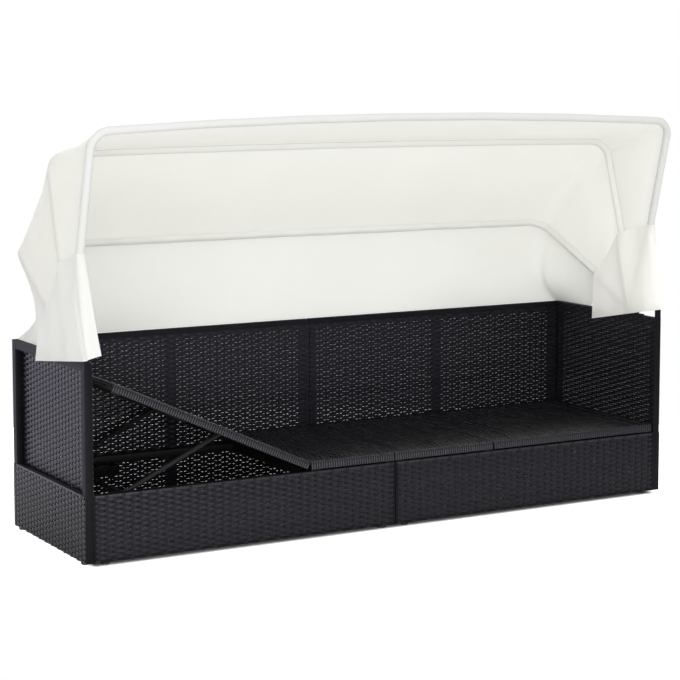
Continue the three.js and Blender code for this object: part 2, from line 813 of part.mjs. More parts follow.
// Both halves of the bed
for (const [sideName, side] of [
  ["left", -1],
  ["right", 1],
]) {
  const hingeX = hingeAt[sideName];
  const named = (name) => sideName + "_" + name;
  const frontHole = joinHole(side, baseOuter - baseTube - overrun, baseOuter + overrun, joinY.front, joinHeight.front);
  place(daybed, named("base_frame"), cutBy(baseFrame(side, hingeX), [frontHole]), "steel");
  const wholeBase = across(side, baseInner, baseOuter);
  place(daybed, named("front_weave"), block(wholeBase, [front, front + weaveThick], [footHeight, boxTop]), "wicker");
  place(daybed, named("back_frame"), backFrame(side), "steel");
  const backWeaveX = across(side, baseInner, baseOuter - skin - gap);
  const backWeaveY = [backWeaveFront, backWeaveFront + weaveThick];
  const backWeaveZ = [footHeight, sideTop - backWeaveLap];
  place(daybed, named("back_weave"), block(backWeaveX, backWeaveY, backWeaveZ), "wicker");
  place(daybed, named("side_frame"), endFrame(side), "steel");
  const upperX = across(side, endInner - skin, endInner - gap);
  const upperY = [front + gap, backWeaveFront - gap];
  const upperZ = [boxTop + gap, sideTop - gap];
  place(daybed, named("side_upper_weave"), block(upperX, upperY, upperZ), "wicker");
  const lowerX = across(side, endOuter + gap, halfLength);
  place(daybed, named("side_lower_weave"), block(lowerX, [front, back], [footHeight, boxTop]), "wicker");

  const frontBolt = joinBolt(side, baseOuter - baseTube, endInner + joinDeep, joinY.front, joinHeight.front);
  const rearBolt = joinBolt(side, baseOuter - backStile, endInner + joinDeep, joinY.rear, joinHeight.rear);
  place(daybed, named("front_joining_bolt"), frontBolt, "bare");
  place(daybed, named("rear_joining_bolt"), rearBolt, "bare");

  const footFront = baseFront + baseTube / 2;
  const footBack = baseBack - baseTube / 2;
  const baseFeet = [
    ["foot_front_inner", baseInner + footInset, footFront],
    ["foot_front_outer", baseOuter - footInset, footFront],
    ["foot_rear_inner", baseInner + footInset, footBack],
    ["foot_rear_outer", baseOuter - footInset, footBack],
    ["side_foot_front", endInner + footRadius - footEdge / 2, front + footInset],
    ["side_foot_rear", endInner + footRadius - footEdge / 2, back - footInset],
  ];
  for (const [name, x, y] of baseFeet) place(daybed, named(name), footAt(side * x, y), "plastic");

  const seat = new THREE.Group();
  seat.position.set(side * hingeX, 0, hingeZ);
  daybed.add(seat);
  const seatEnd = hingeX - baseInner;
  place(seat, named("seat_frame"), panelFrame(-side, hingeGap, seatEnd, false), "steel");
  place(seat, named("seat_weave"), panelWeave(-side, hingeGap, seatEnd), "wicker");
  place(seat, named("hinge_rod"), rodAlongY(hingeRodRadius, [panelFront, panelBack], 0, 0), "bare");

  const backrest = new THREE.Group();
  backrest.position.set(side * hingeX, 0, hingeZ);
  backrest.rotation.y = -side * degrees(backrestAngle[sideName]);
  daybed.add(backrest);
  const backrestEnd = backrestOuter - hingeX;
  const frame = cutBy(panelFrame(side, hingeGap, backrestEnd, true), pivotHoles(side, pivotAt(hingeX)));
  place(backrest, named("backrest_frame"), frame, "steel");
  place(backrest, named("backrest_weave"), panelWeave(side, hingeGap, backrestEnd), "wicker");
  const rodSpan = [stileFront - pivotRodInset + overrun, stileBack + pivotRodInset - overrun];
  const pivotRod = rodAlongY(pivotRodRadius, rodSpan, side * pivotAt(hingeX), pivotLow);
  place(backrest, named("leg_pivot_rod"), pivotRod, "bare");

  const leg = new THREE.Group();
  leg.position.set(side * pivotAt(hingeX), 0, pivotLow);
  leg.rotation.y = side * legAngle(pivotAt(hingeX), backrestAngle[sideName]);
  backrest.add(leg);
  place(leg, named("support_leg"), supportLeg(side, pivotAt(hingeX) * legLengthShare), "steel");

  place(daybed, named("front_rack"), rack(side, pivotAt(hingeX), "front"), "steel");
  place(daybed, named("rear_rack"), rack(side, pivotAt(hingeX), "rear"), "steel");
  place(daybed, named("canopy_bracket"), bracket(side), "steel");
  place(daybed, named("canopy_bolt"), pivotBolt(side), "bare");
}

// The hood
for (const [name, bow] of Object.entries(bows)) {
  const hoop = new THREE.Group();
  hoop.position.set(0, pivotY, pivotZ);
  hoop.rotation.x = -degrees(bow.lean);
  daybed.add(hoop);
  place(hoop, "canopy_" + name + "_bow", bowSolid(bow), "bow");
}
place(daybed, "canopy_front_cloth", hoodPanel(bows.front, bows.middle), "cloth");
place(daybed, "canopy_middle_cloth", hoodPanel(bows.middle, bows.rear), "cloth");
place(daybed, "canopy_rear_curtain", curtain(), "cloth");
place(daybed, "canopy_left_skirt", outerSkirt(), "cloth");
place(daybed, "canopy_right_skirt", innerSkirt(), "cloth");

// The whole bed is set so that the origin lies under the middle of its box
const overall = new THREE.Box3().setFromObject(daybed, true);
daybed.position.set(-(overall.min.x + overall.max.x) / 2, -(overall.min.y + overall.max.y) / 2, 0);

export default daybed;
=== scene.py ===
# %% [markdown]
# # An outdoor daybed with a folding canopy
# The real bed is two base modules, two end frames and a back, all of steel tube under woven strands of
# dark plastic, with a seat of four woven panels and a hood of pale cloth on three bows.
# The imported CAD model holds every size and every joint. This script leaves it where it is and builds the
# looks on it: softened frames, real woven strands, wrapped edges and sewn cloth.

import json
import math

import bmesh
import bpy
import numpy as np
from mathutils import Matrix, Vector

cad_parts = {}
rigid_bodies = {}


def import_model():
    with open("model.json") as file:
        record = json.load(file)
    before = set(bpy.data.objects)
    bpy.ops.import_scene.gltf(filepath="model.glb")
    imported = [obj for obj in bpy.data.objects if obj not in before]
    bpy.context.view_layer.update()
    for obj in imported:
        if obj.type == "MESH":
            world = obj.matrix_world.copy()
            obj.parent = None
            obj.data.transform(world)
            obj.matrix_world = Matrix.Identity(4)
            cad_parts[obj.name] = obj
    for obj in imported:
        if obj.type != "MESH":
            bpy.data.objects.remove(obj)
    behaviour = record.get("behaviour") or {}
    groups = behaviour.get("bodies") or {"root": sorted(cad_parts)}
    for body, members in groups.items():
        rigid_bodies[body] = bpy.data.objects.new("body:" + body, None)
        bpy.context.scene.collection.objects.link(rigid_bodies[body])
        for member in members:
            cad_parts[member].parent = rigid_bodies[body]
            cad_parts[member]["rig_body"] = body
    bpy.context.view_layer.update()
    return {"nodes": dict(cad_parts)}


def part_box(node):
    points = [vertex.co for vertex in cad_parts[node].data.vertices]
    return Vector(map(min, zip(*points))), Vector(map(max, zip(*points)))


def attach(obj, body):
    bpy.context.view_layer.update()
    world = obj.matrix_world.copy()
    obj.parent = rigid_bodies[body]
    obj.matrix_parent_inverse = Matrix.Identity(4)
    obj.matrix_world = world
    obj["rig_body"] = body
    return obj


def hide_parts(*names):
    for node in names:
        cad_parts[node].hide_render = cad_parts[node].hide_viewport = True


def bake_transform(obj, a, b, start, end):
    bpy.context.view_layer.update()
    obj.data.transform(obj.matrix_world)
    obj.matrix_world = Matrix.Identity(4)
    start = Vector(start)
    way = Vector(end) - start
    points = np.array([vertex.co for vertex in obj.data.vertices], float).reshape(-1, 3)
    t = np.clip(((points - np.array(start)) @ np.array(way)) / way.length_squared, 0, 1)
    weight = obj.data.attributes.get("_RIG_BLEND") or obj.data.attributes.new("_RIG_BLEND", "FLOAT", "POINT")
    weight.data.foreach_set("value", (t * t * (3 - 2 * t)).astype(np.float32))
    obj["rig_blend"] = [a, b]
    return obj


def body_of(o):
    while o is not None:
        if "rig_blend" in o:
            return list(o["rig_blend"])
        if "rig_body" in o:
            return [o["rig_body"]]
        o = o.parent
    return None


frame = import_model()
nodes = frame["nodes"]

# %% [markdown]
# The drawing of the bed is in millimetres from the middle of its frame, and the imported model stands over
# the middle of its whole box. The end frames are alike on both sides, so the middle between them gives the
# drawing's own origin, and one helper turns a place of the drawing into metres.

# %% Places of the drawing
left_end, right_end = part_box("left_side_frame"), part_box("right_side_frame")
MIDDLE = Vector(((left_end[0].x + right_end[1].x) / 2, (left_end[0].y + left_end[1].y) / 2, 0))
MM = 0.001
SIDES = {"left": -1, "right": 1}


def spot(x, y, z):
    """A place of the drawing, in millimetres, as metres of the model."""
    return Vector((x, y, z)) * MM + MIDDLE


print("the drawing's origin lies at", tuple(round(v, 6) for v in MIDDLE))

# %% [markdown]
# ## Camera
# The photograph was taken from about six metres, a little above the bed and from its left front. The
# place, turn and focal length come from a fit of the bed's corners. Depth of field stays off.

# %% Camera
PICTURE, FOCAL_PIXELS = 680, 2009.6
SENSOR = 36
CAMERA_PLACE = (-3075.2, -5362.2, 1392.1)
LOOKS_DOWN, LOOKS_RIGHT = 5.98, 29.59
SHIFT = -0.1


def shown(name, data):
    """A new object in the scene, at the origin."""
    made = bpy.data.objects.new(name, data)
    bpy.context.scene.collection.objects.link(made)
    return made


camera = shown("camera", bpy.data.cameras.new("camera"))
camera.location = Vector(CAMERA_PLACE) * MM
camera.rotation_euler = (math.radians(90 - LOOKS_DOWN), 0, math.radians(-LOOKS_RIGHT))
camera.data.sensor_width = SENSOR
camera.data.lens = SENSOR * FOCAL_PIXELS / PICTURE
camera.data.shift_y = SHIFT
camera.data.clip_end = 60
bpy.context.scene.camera = camera
bpy.context.scene.view_settings.view_transform = "Standard"
print("lens", round(camera.data.lens, 2), "mm")

# %% [markdown]
# ## Node trees
# Materials and geometry are both trees of nodes. Two helpers keep them short: one method adds any node
# from its type, its settings and what goes into its sockets, and a small class lets sockets take part in
# ordinary sums, so that a line of Python becomes the Math nodes that it describes.

# %% Sockets that do sums
class Sum:
    """A socket that works in plain arithmetic: each operator adds one Math node."""

    def __init__(self, tree, socket):
        self.tree, self.socket = tree, socket

    def math(self, operation, other=0):
        return first(self.tree, "ShaderNodeMath", {0: self, 1: other}, operation=operation)

    def turned(self, operation, other):
        return first(self.tree, "ShaderNodeMath", {0: other, 1: self}, operation=operation)

    def __add__(self, other):
        return self.math("ADD", other)

    def __sub__(self, other):
        return self.math("SUBTRACT", other)

    def __rsub__(self, other):
        return self.turned("SUBTRACT", other)

    def __mul__(self, other):
        return self.math("MULTIPLY", other)

    def __truediv__(self, other):
        return self.math("DIVIDE", other)

    def __rtruediv__(self, other):
        return self.turned("DIVIDE", other)

    def __pow__(self, other):
        return self.math("POWER", other)

    __radd__, __rmul__ = __add__, __mul__

    def clamped(self):
        return self.math("MAXIMUM", 0).math("MINIMUM", 1)


# %% One method for any other node
def feed(tree, socket, value):
    """Link a socket to another one, or set it to a plain value."""
    value = value.socket if isinstance(value, Sum) else value
    if isinstance(value, bpy.types.NodeSocket):
        tree.links.new(value, socket)
    else:
        socket.default_value = value


def add(tree, kind, sockets=None, **settings):
    """One node: its settings are set first, then each socket gets a value or a link."""
    node = tree.nodes.new(kind)
    for name, value in settings.items():
        setattr(node, name, value)
    for key, value in (sockets or {}).items():
        feed(tree, node.inputs[key], value)
    return node


def out(tree, node, key=0):
    return Sum(tree, node.outputs[key])


def first(tree, kind, sockets=None, **settings):
    """The first output of a new node."""
    return out(tree, add(tree, kind, sockets, **settings))


print("sums and nodes ready")


# %% Helpers for materials
def new_material(name):
    """A material with one Principled shader, and its tree and shader."""
    material = bpy.data.materials.new(name)
    material.use_nodes = True
    tree = material.node_tree
    tree.nodes.clear()
    shader = add(tree, "ShaderNodeBsdfPrincipled")
    add(tree, "ShaderNodeOutputMaterial", {"Surface": shader.outputs[0]})
    return material, tree, shader


def set_sockets(tree, shader, **values):
    """Feed a shader's sockets, each by its name in small letters with underscores."""
    for name, value in values.items():
        feed(tree, shader.inputs[name.replace("_", " ").title().replace("Ior", "IOR")], value)


def grey(level, tint=(1, 1, 1)):
    return (level * tint[0], level * tint[1], level * tint[2], 1)


def shade_between(tree, share, low, high):
    """A colour between two others, by a share that changes over the surface."""
    return add(tree, "ShaderNodeMix", {0: share, 6: low, 7: high}, data_type="RGBA").outputs[2]


def bump(tree, height, distance, strength=1.0):
    return first(tree, "ShaderNodeBump", {"Strength": strength, "Distance": distance, "Height": height})


def noise(tree, vector, scale, detail=2.0, rough=0.5):
    sockets = {"Vector": vector, "Scale": scale, "Detail": detail, "Roughness": rough}
    return first(tree, "ShaderNodeTexNoise", sockets)


print("material helpers ready")

# %% [markdown]
# ## Finishes
# The strands are extruded plastic, nearly black with a cool sheen. Each strand is a slightly different
# shade, has fine lengthwise grooves from its die, and wears a little glossier where it bulges over a rib.
# Its colour is also painted a little lighter where it bulges and darker in the dips, as painted light and
# shade.
# The weave's own places are kept on the mesh as an attribute: x runs along a strand, y counts strands and
# z is how far the strand bulges out.

# %% Wicker strands
COOL = (0.93, 0.9, 1.0, 1)
GROOVES = 5


def wicker_strands(name, dark, light, gloss, dull):
    material, tree, shader = new_material(name)
    place = add(tree, "ShaderNodeAttribute", attribute_name="weave_place").outputs["Vector"]
    split = add(tree, "ShaderNodeSeparateXYZ", {0: place})
    across, bulge = out(tree, split, 1), out(tree, split, 2)
    strand = across.math("FLOOR")
    pick = first(tree, "ShaderNodeTexWhiteNoise", {"W": strand}, noise_dimensions="1D")
    slow = noise(tree, place, 9.0, 2.0)
    # The bulge also lightens the colour: a painted highlight on the bulges and painted shade in the dips.
    share = (pick * 0.6 + slow * 0.7 + bulge * 0.35 - 0.3).clamped()
    grooves = (across * (2 * math.pi * GROOVES)).math("SINE")
    grain = noise(tree, place, 220.0, 1.0)
    set_sockets(
        tree, shader, base_color=shade_between(tree, share, dark, light),
        roughness=(dull - bulge * 0.12 + (slow - 0.5) * 0.2 + pick * 0.06).clamped(),
        normal=bump(tree, grooves * 0.5 + grain * 0.5, 0.00012, 0.5),
        specular_ior_level=gloss, specular_tint=COOL,
    )
    return material


wicker = wicker_strands(
    "wicker strands", grey(0.003, (1, 0.94, 1.25)), grey(0.008, (1, 0.95, 1.25)), gloss=0.32, dull=0.38
)
seat_wicker = wicker_strands("round seat strands", grey(0.003), grey(0.007), gloss=0.75, dull=0.35)
print("made two kinds of strand")

# %% [markdown]
# Posts and rails are covered with the same plastic laid flat and smooth. The steel behind it is powder
# coated, with the faint orange peel of that coat. One recipe makes these, and the feet, bolts, bows and
# sewing thread too: a slow and a fine noise vary the shade, and a third one scuffs the gloss.

# %% Flat wicker, coated steel and other plain finishes
FLAT_TINT, THREAD_TINT, PAINT_TINT = (1, 0.95, 1.15), (1, 0.99, 0.94), (1, 1, 0.97)


def coated(name, levels, rough, peel, gloss=0.5, metal=0.0, hue=(1, 1, 1), shine=(1, 1, 1, 1)):
    material, tree, shader = new_material(name)
    dark, light = (grey(level, hue) for level in levels)
    place = add(tree, "ShaderNodeTexCoord").outputs["Object"]
    slow = noise(tree, place, 6.0, 3.0)
    fine = noise(tree, place, 420.0, 2.0)
    scuffs = noise(tree, place, 60.0, 4.0, 0.7)
    share = (slow * 0.7 + fine * 0.3).clamped()
    set_sockets(
        tree, shader, base_color=shade_between(tree, share, dark, light),
        roughness=(rough + (scuffs - 0.5) * 0.22).clamped(), metallic=metal,
        normal=bump(tree, fine + slow * 0.4, peel, 0.4), specular_ior_level=gloss, specular_tint=shine,
    )
    return material


flat_wicker = coated("flat wicker strip", (0.003, 0.008), 0.5, 0.00012, 0.13, hue=FLAT_TINT, shine=COOL)
# A lighter copy of the flat wicker for the upper edges: a painted highlight where they catch the light.
lit_edge_wicker = coated("lit edge strand", (0.006, 0.012), 0.4, 0.0001, hue=FLAT_TINT, shine=COOL)
coated_steel = coated("black coated steel", (0.003, 0.006), 0.45, 0.00015, 0.2)
leg_steel = coated("grey coated tube", (0.005, 0.01), 0.4, 0.0001, 0.25)
bright_steel = coated("bright steel", (0.45, 0.6), 0.3, 0.00005, metal=1.0)
foot_plastic = coated("black foot plastic", (0.012, 0.02), 0.55, 0.0002)
thread = coated("sewing thread", (0.66, 0.76), 0.7, 0.00005, 0.3, hue=THREAD_TINT)
bow_paint = coated("white painted bow", (0.82, 0.86), 0.4, 0.0001, hue=PAINT_TINT)
print("made eight finishes")

# %% [markdown]
# The hood is plain woven polyester, off-white and a little warm. Its threads are far finer than a pixel
# of the photograph, so they are a small bump. The cloth's own places are kept as a UV map in metres,
# so that warp and weft follow each panel as it was cut. Daylight comes through the cloth, and how much
# of it each panel lets through is its share of a translucent shader. The left skirt, the curtain and the
# sleeves are the same cloth painted darker, as painted shade, the front sleeve darkest; the rear of the
# right skirt is painted lighter and warmer, as painted light reflected inside the hood.

# %% Canopy cloth
THREAD_PITCH = 0.0011


def canvas(name, low, high, through_share):
    material, tree, shader = new_material(name)
    place = first(tree, "ShaderNodeUVMap", uv_map="cloth_place")
    split = add(tree, "ShaderNodeSeparateXYZ", {0: place})
    warp = (out(tree, split, 0) * (2 * math.pi / THREAD_PITCH)).math("SINE")
    weft = (out(tree, split, 1) * (2 * math.pi / THREAD_PITCH)).math("SINE")
    slow = noise(tree, place, 3.5, 3.0)
    slub = noise(tree, place, 60.0, 2.0)
    colour = shade_between(tree, (slow * 0.7 + slub * 0.3).clamped(), low, high)
    set_sockets(
        tree, shader, base_color=colour, roughness=(0.82 + (slub - 0.5) * 0.1).clamped(),
        normal=bump(tree, warp * weft * 0.25 + slub * 0.5, 0.0003, 0.35),
        specular_ior_level=0.25, sheen_weight=0.15,
    )
    through = first(tree, "ShaderNodeBsdfTranslucent", {"Color": colour})
    both = first(tree, "ShaderNodeMixShader", {0: through_share, 1: shader.outputs[0], 2: through})
    end = next(node for node in tree.nodes if node.type == "OUTPUT_MATERIAL")
    feed(tree, end.inputs["Surface"], both)
    return material


# The plain cloth; the copies below are painted darker or lighter.
cloth = canvas("canopy cloth", grey(0.89, (1, 0.999, 0.965)), grey(0.94, (1, 1, 0.972)), 0.6)
# Painted shade: the left skirt's cloth is a darker copy.
shaded_skirt_cloth = canvas("skirt cloth", grey(0.82, (0.995, 1, 0.972)), grey(0.86, (0.995, 1, 0.976)), 0.34)
# Painted light: a lighter, warmer copy for the rear of the right skirt, as light reflected inside the hood.
lit_inner_cloth = canvas("inner skirt cloth", grey(0.91, (1, 0.988, 0.96)), grey(0.94, (1, 0.99, 0.963)), 0.36)
# Painted shade: the curtain's cloth is a darker copy.
shaded_curtain_cloth = canvas("shaded curtain cloth", grey(0.83, (1, 0.999, 0.97)), grey(0.87, (1, 1, 0.975)), 0.4)
# Painted shade: the rear sleeves' cloth is darker, as less light comes through their double layer.
shaded_sleeve_cloth = canvas("sleeve cloth", grey(0.73, (1, 0.997, 0.955)), grey(0.76, (1, 0.997, 0.96)), 0.05)
# Painted shade: the front sleeve's cloth is darker still.
shaded_edge_cloth = canvas("front sleeve cloth", grey(0.62, (1, 1, 0.975)), grey(0.65, (1, 1, 0.98)), 0.05)
print("made six cloth finishes")

# %% [markdown]
# ## Room
# The photograph is cut out on white, with hardly a shadow. The world is an even white for the camera, and
# nearly so for the light on the bed. In reflections it is darker, brightening overhead, in front and on
# one broad side at the left rear, which is what picks out the bulges of the weave on the left end.

# %% World
BRIGHT_SIDE, SPREAD = Vector((-0.64, 0.77, 0.0)), 11
PLAIN_GLOW, SIDE_GLOW, OVERHEAD_GLOW, FRONT_GLOW = 0.12, 2.3, 0.9, 0.3
LESS_LIGHT = 0.04
world = bpy.data.worlds.new("studio")
bpy.context.scene.world = world
world.use_nodes = True
tree = world.node_tree
tree.nodes.clear()
rays = add(tree, "ShaderNodeLightPath")
shiny, soft = out(tree, rays, "Is Glossy Ray"), out(tree, rays, "Is Diffuse Ray")
way = add(tree, "ShaderNodeTexCoord").outputs["Generated"]
facing = add(tree, "ShaderNodeVectorMath", {0: way, 1: BRIGHT_SIDE}, operation="DOT_PRODUCT")
beside = out(tree, facing, "Value").math("MAXIMUM", 0) ** SPREAD
axes = add(tree, "ShaderNodeSeparateXYZ", {0: way})
above = out(tree, axes, 2).math("MAXIMUM", 0) ** 2
ahead = (out(tree, axes, 1) * -1).math("MAXIMUM", 0)
glow = PLAIN_GLOW + beside * SIDE_GLOW + above * OVERHEAD_GLOW + ahead * FRONT_GLOW
strength = (1.0 - shiny - soft * LESS_LIGHT) + shiny * glow
hue = shade_between(tree, shiny, (1, 1, 1, 1), (0.96, 0.94, 1.1, 1))
lit = first(tree, "ShaderNodeBackground", {"Color": hue, "Strength": strength})
add(tree, "ShaderNodeOutputWorld", {"Surface": lit})
print("world of", len(tree.nodes), "nodes")

# %% [markdown]
# The floor is a pale disc. For the camera it glows white around the bed and fades to its own shade below
# it, so that the dark between the feet stays dark, as in the photograph.

# %% Floor
FLOOR_RADIUS, FLOOR_DROP = 1.9, 0.0005
GLOW_FROM_X, GLOW_FROM_Y, GLOW_FADE = 0.967, 0.285, 0.02
work = bmesh.new()
bmesh.ops.create_circle(work, cap_ends=True, radius=FLOOR_RADIUS, segments=96)
floor_mesh = bpy.data.meshes.new("floor")
work.to_mesh(floor_mesh)
work.free()
floor = shown("floor", floor_mesh)
floor.location.z = -FLOOR_DROP
material, tree, shader = new_material("pale floor")
rays = add(tree, "ShaderNodeLightPath")
seen = (out(tree, rays, "Is Camera Ray") + out(tree, rays, "Is Transmission Ray")).clamped()
place = add(tree, "ShaderNodeSeparateXYZ", {0: add(tree, "ShaderNodeTexCoord").outputs["Object"]})
past_x = out(tree, place, 0).math("ABSOLUTE") - GLOW_FROM_X
past_y = out(tree, place, 1).math("ABSOLUTE") - GLOW_FROM_Y
clear = (past_x.math("MAXIMUM", past_y) / GLOW_FADE).clamped()
set_sockets(
    tree, shader, base_color=grey(0.92), roughness=0.9, emission_strength=1.0,
    emission_color=shade_between(tree, seen * clear, grey(0), grey(1)),
)
floor_mesh.materials.append(material)
print("floor", 2 * FLOOR_RADIUS, "m across")

# %% [markdown]
# Most of the light is the world's. Four wide, weak lamps stand for the studio's soft boxes: the two in
# front model the weave and lift the inside of the hood, and the other two keep its top and back white.


# %% Lamps
def lamp(name, place, aim, size, watts):
    light = bpy.data.lights.new(name, "AREA")
    light.shape, light.size, light.energy = "DISK", size, watts
    made = shown(name, light)
    made.location = place
    made.rotation_euler = (Vector(aim) - Vector(place)).to_track_quat("-Z", "Y").to_euler()
    print("lamp", name, watts, "W")


lamp("above the hood", (0.2, -0.4, 4.2), (0, 0, 1), 2.6, 18)
lamp("front fill", (-3.7, -4.0, 1.8), (0, 0, 0.8), 3.4, 72)
lamp("low front", (-1.2, -5.0, 0.25), (0.1, 0.2, 1.1), 2.4, 66)
lamp("behind the hood", (0.3, 3.0, 3.0), (0, 0.1, 0.8), 3.0, 12)

# %% [markdown]
# ## Softened frames
# A real tube has rounded corners, and its covering rounds them further. Each frame node is copied, its
# doubled points are merged and its flat faces joined, and a Bevel modifier rounds the sharp edges. The copy
# stands for the node, in the same place.


# %% Helpers for finished meshes
def baked(made):
    """The object's mesh with its modifiers applied, and no modifier left."""
    bpy.context.view_layer.update()
    mesh = bpy.data.meshes.new_from_object(made.evaluated_get(bpy.context.evaluated_depsgraph_get()))
    made.modifiers.clear()
    made.data = mesh
    return mesh


def paint(mesh, finish):
    """Leave one finish on a mesh."""
    mesh.materials.clear()
    mesh.materials.append(finish)


def smooth_up_to(mesh, degrees):
    """Shade a mesh smooth, but keep the edges that bend more than this."""
    mesh.shade_smooth()
    mesh.set_sharp_from_angle(angle=math.radians(degrees))


# %% Softened copies of the frames
WELD = 0.00001
SAME_FACE, EDGE_BEND = math.radians(1), math.radians(35)


def softened(node, finish, width):
    """A rounded copy of a CAD node, which stands for it on its own body."""
    mesh = nodes[node].data.copy()
    work = bmesh.new()
    work.from_mesh(mesh)
    bmesh.ops.remove_doubles(work, verts=work.verts, dist=WELD)
    bmesh.ops.dissolve_limit(work, angle_limit=SAME_FACE, verts=work.verts, edges=work.edges)
    bmesh.ops.connect_verts_concave(work, faces=work.faces[:])
    work.to_mesh(mesh)
    work.free()
    made = shown(node + "_rounded", mesh)
    rounding = made.modifiers.new("rounding", "BEVEL")
    rounding.width, rounding.segments = width, 2
    rounding.limit_method, rounding.angle_limit = "ANGLE", EDGE_BEND
    rounding.use_clamp_overlap = True
    mesh = baked(made)
    paint(mesh, finish)
    smooth_up_to(mesh, 40)
    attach(made, body_of(nodes[node])[0])
    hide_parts(node)


ROUNDED = {
    "side_frame": (flat_wicker, 0.0022),
    "back_frame": (flat_wicker, 0.0018),
    "base_frame": (coated_steel, 0.0015),
    "seat_frame": (coated_steel, 0.0015),
    "backrest_frame": (coated_steel, 0.0015),
    "front_rack": (coated_steel, 0.001),
    "rear_rack": (coated_steel, 0.001),
}
for side in SIDES:
    for part, (finish, width) in ROUNDED.items():
        softened(side + "_" + part, finish, width)
print(2 * len(ROUNDED), "frames and racks rounded")

# %% [markdown]
# Small parts keep their CAD shape and get their own finish: the support legs and their rods are coated
# tube, the hinge rods and brackets coated steel, the bolts bright, the feet plastic and the bows painted.

# %% Finishes of the parts that keep their shape
KEPT = {
    "support_leg": (leg_steel, "frame"),
    "leg_pivot_rod": (leg_steel, "fittings"),
    "hinge_rod": (coated_steel, "fittings"),
    "joining_bolt": (bright_steel, "fittings"),
    "canopy_bolt": (bright_steel, "fittings"),
    "canopy_bracket": (coated_steel, "frame"),
    "foot": (foot_plastic, "feet"),
    "bow": (bow_paint, "bows"),
}
for name, node in nodes.items():
    for word, (finish, slot) in KEPT.items():
        if word in name and not node.hide_render:
            paint(node.data, finish)
print(sum(1 for node in nodes.values() if not node.hide_render), "CAD nodes still show")

# %% [markdown]
# ## Woven panels
# Each panel is a plain weave: flat strands run from end to end and pass in turn before and behind upright
# ribs, the next strand the other way round, so the bulges stand in a staggered grid and light comes through
# beside them. That is a rule, so Geometry Nodes weave it: a line of points gives the rows, each gets one
# strand, a cosine of the place along it lifts it over the ribs, and a flat six-sided outline is swept along.


# %% Helpers for geometry trees
def geometry_tree(name, **inputs):
    """A geometry tree with the named inputs of each kind, and these inputs as sockets."""
    tree = bpy.data.node_groups.new(name, "GeometryNodeTree")
    tree.interface.new_socket(name="Geometry", in_out="OUTPUT", socket_type="NodeSocketGeometry")
    for kind, labels in inputs.items():
        for label in labels:
            tree.interface.new_socket(name=label, in_out="INPUT", socket_type="NodeSocket" + kind)
    start = add(tree, "NodeGroupInput")
    return tree, {label: out(tree, start, label) for labels in inputs.values() for label in labels}


def end_tree(tree, geometry, finish):
    real = first(tree, "GeometryNodeRealizeInstances", {0: geometry})
    painted = first(tree, "GeometryNodeSetMaterial", {0: real, "Material": finish})
    add(tree, "NodeGroupOutput", {0: painted})
    print(tree.name, "tree has", len(tree.nodes), "nodes")


def grown(tree, name, mesh=None, **values):
    """An object with the tree's result as its plain mesh."""
    made = shown(name, mesh or bpy.data.meshes.new(name))
    growth = made.modifiers.new("growth", "NODES")
    growth.node_group = tree
    for item in tree.interface.items_tree:
        if item.in_out == "INPUT" and item.name != "Path":
            growth[item.identifier] = values[item.name.replace(" ", "_").lower()]
    baked(made)
    return made


# %% Points and places in a tree
def xyz(tree, x=0.0, y=0.0, z=0.0):
    return first(tree, "ShaderNodeCombineXYZ", {0: x, 1: y, 2: z})


def own_place(tree):
    """The x and y of the point that is worked on."""
    at = add(tree, "ShaderNodeSeparateXYZ", {0: first(tree, "GeometryNodeInputPosition")})
    return out(tree, at), out(tree, at, 1)


def point_line(tree, count, step):
    """Points a step apart along a line, from half a step on."""
    half = first(tree, "ShaderNodeVectorMath", {0: step, 1: (0.5, 0.5, 0.5)}, operation="MULTIPLY")
    return first(tree, "GeometryNodeMeshLine", {0: count, 2: half, 3: step})


def straight_line(tree, end):
    return first(tree, "GeometryNodeCurvePrimitiveLine", {1: end})


def on_points(tree, points, piece):
    made = first(tree, "GeometryNodeInstanceOnPoints", {0: points, 2: piece})
    return first(tree, "GeometryNodeRealizeInstances", {0: made})


# %% Strands in a tree
SOFT_BEND = math.radians(32)


def strand_profile(tree, wide, thick, sides=6, full=3.3):
    """A strand's outline: a ring of this many corners, pushed out sideways by its fullness to a flat band."""
    ring = first(tree, "GeometryNodeCurvePrimitiveCircle", {"Resolution": sides, "Radius": 0.5})
    x, y = own_place(tree)
    pushed = x * (1.0 + (0.5 - x.math("ABSOLUTE")) * full) * wide
    return first(tree, "GeometryNodeSetPosition", {0: ring, "Position": xyz(tree, pushed, y * thick)})


def shaded(tree, mesh):
    """Smooth along a strand and sharp at the corners of its outline."""
    bend = first(tree, "GeometryNodeInputMeshEdgeAngle")
    soft = first(tree, "FunctionNodeCompare", {0: bend, 1: SOFT_BEND}, operation="LESS_THAN")
    faces = first(tree, "GeometryNodeSetShadeSmooth", {0: mesh})
    return first(tree, "GeometryNodeSetShadeSmooth", {0: faces, "Shade Smooth": soft}, domain="EDGE")


def swept(tree, path, profile):
    upright = first(tree, "GeometryNodeSetCurveNormal", {0: path}, mode="Z_UP")
    return first(tree, "GeometryNodeCurveToMesh", {0: upright, 1: profile, "Fill Caps": True})


print("geometry helpers ready")

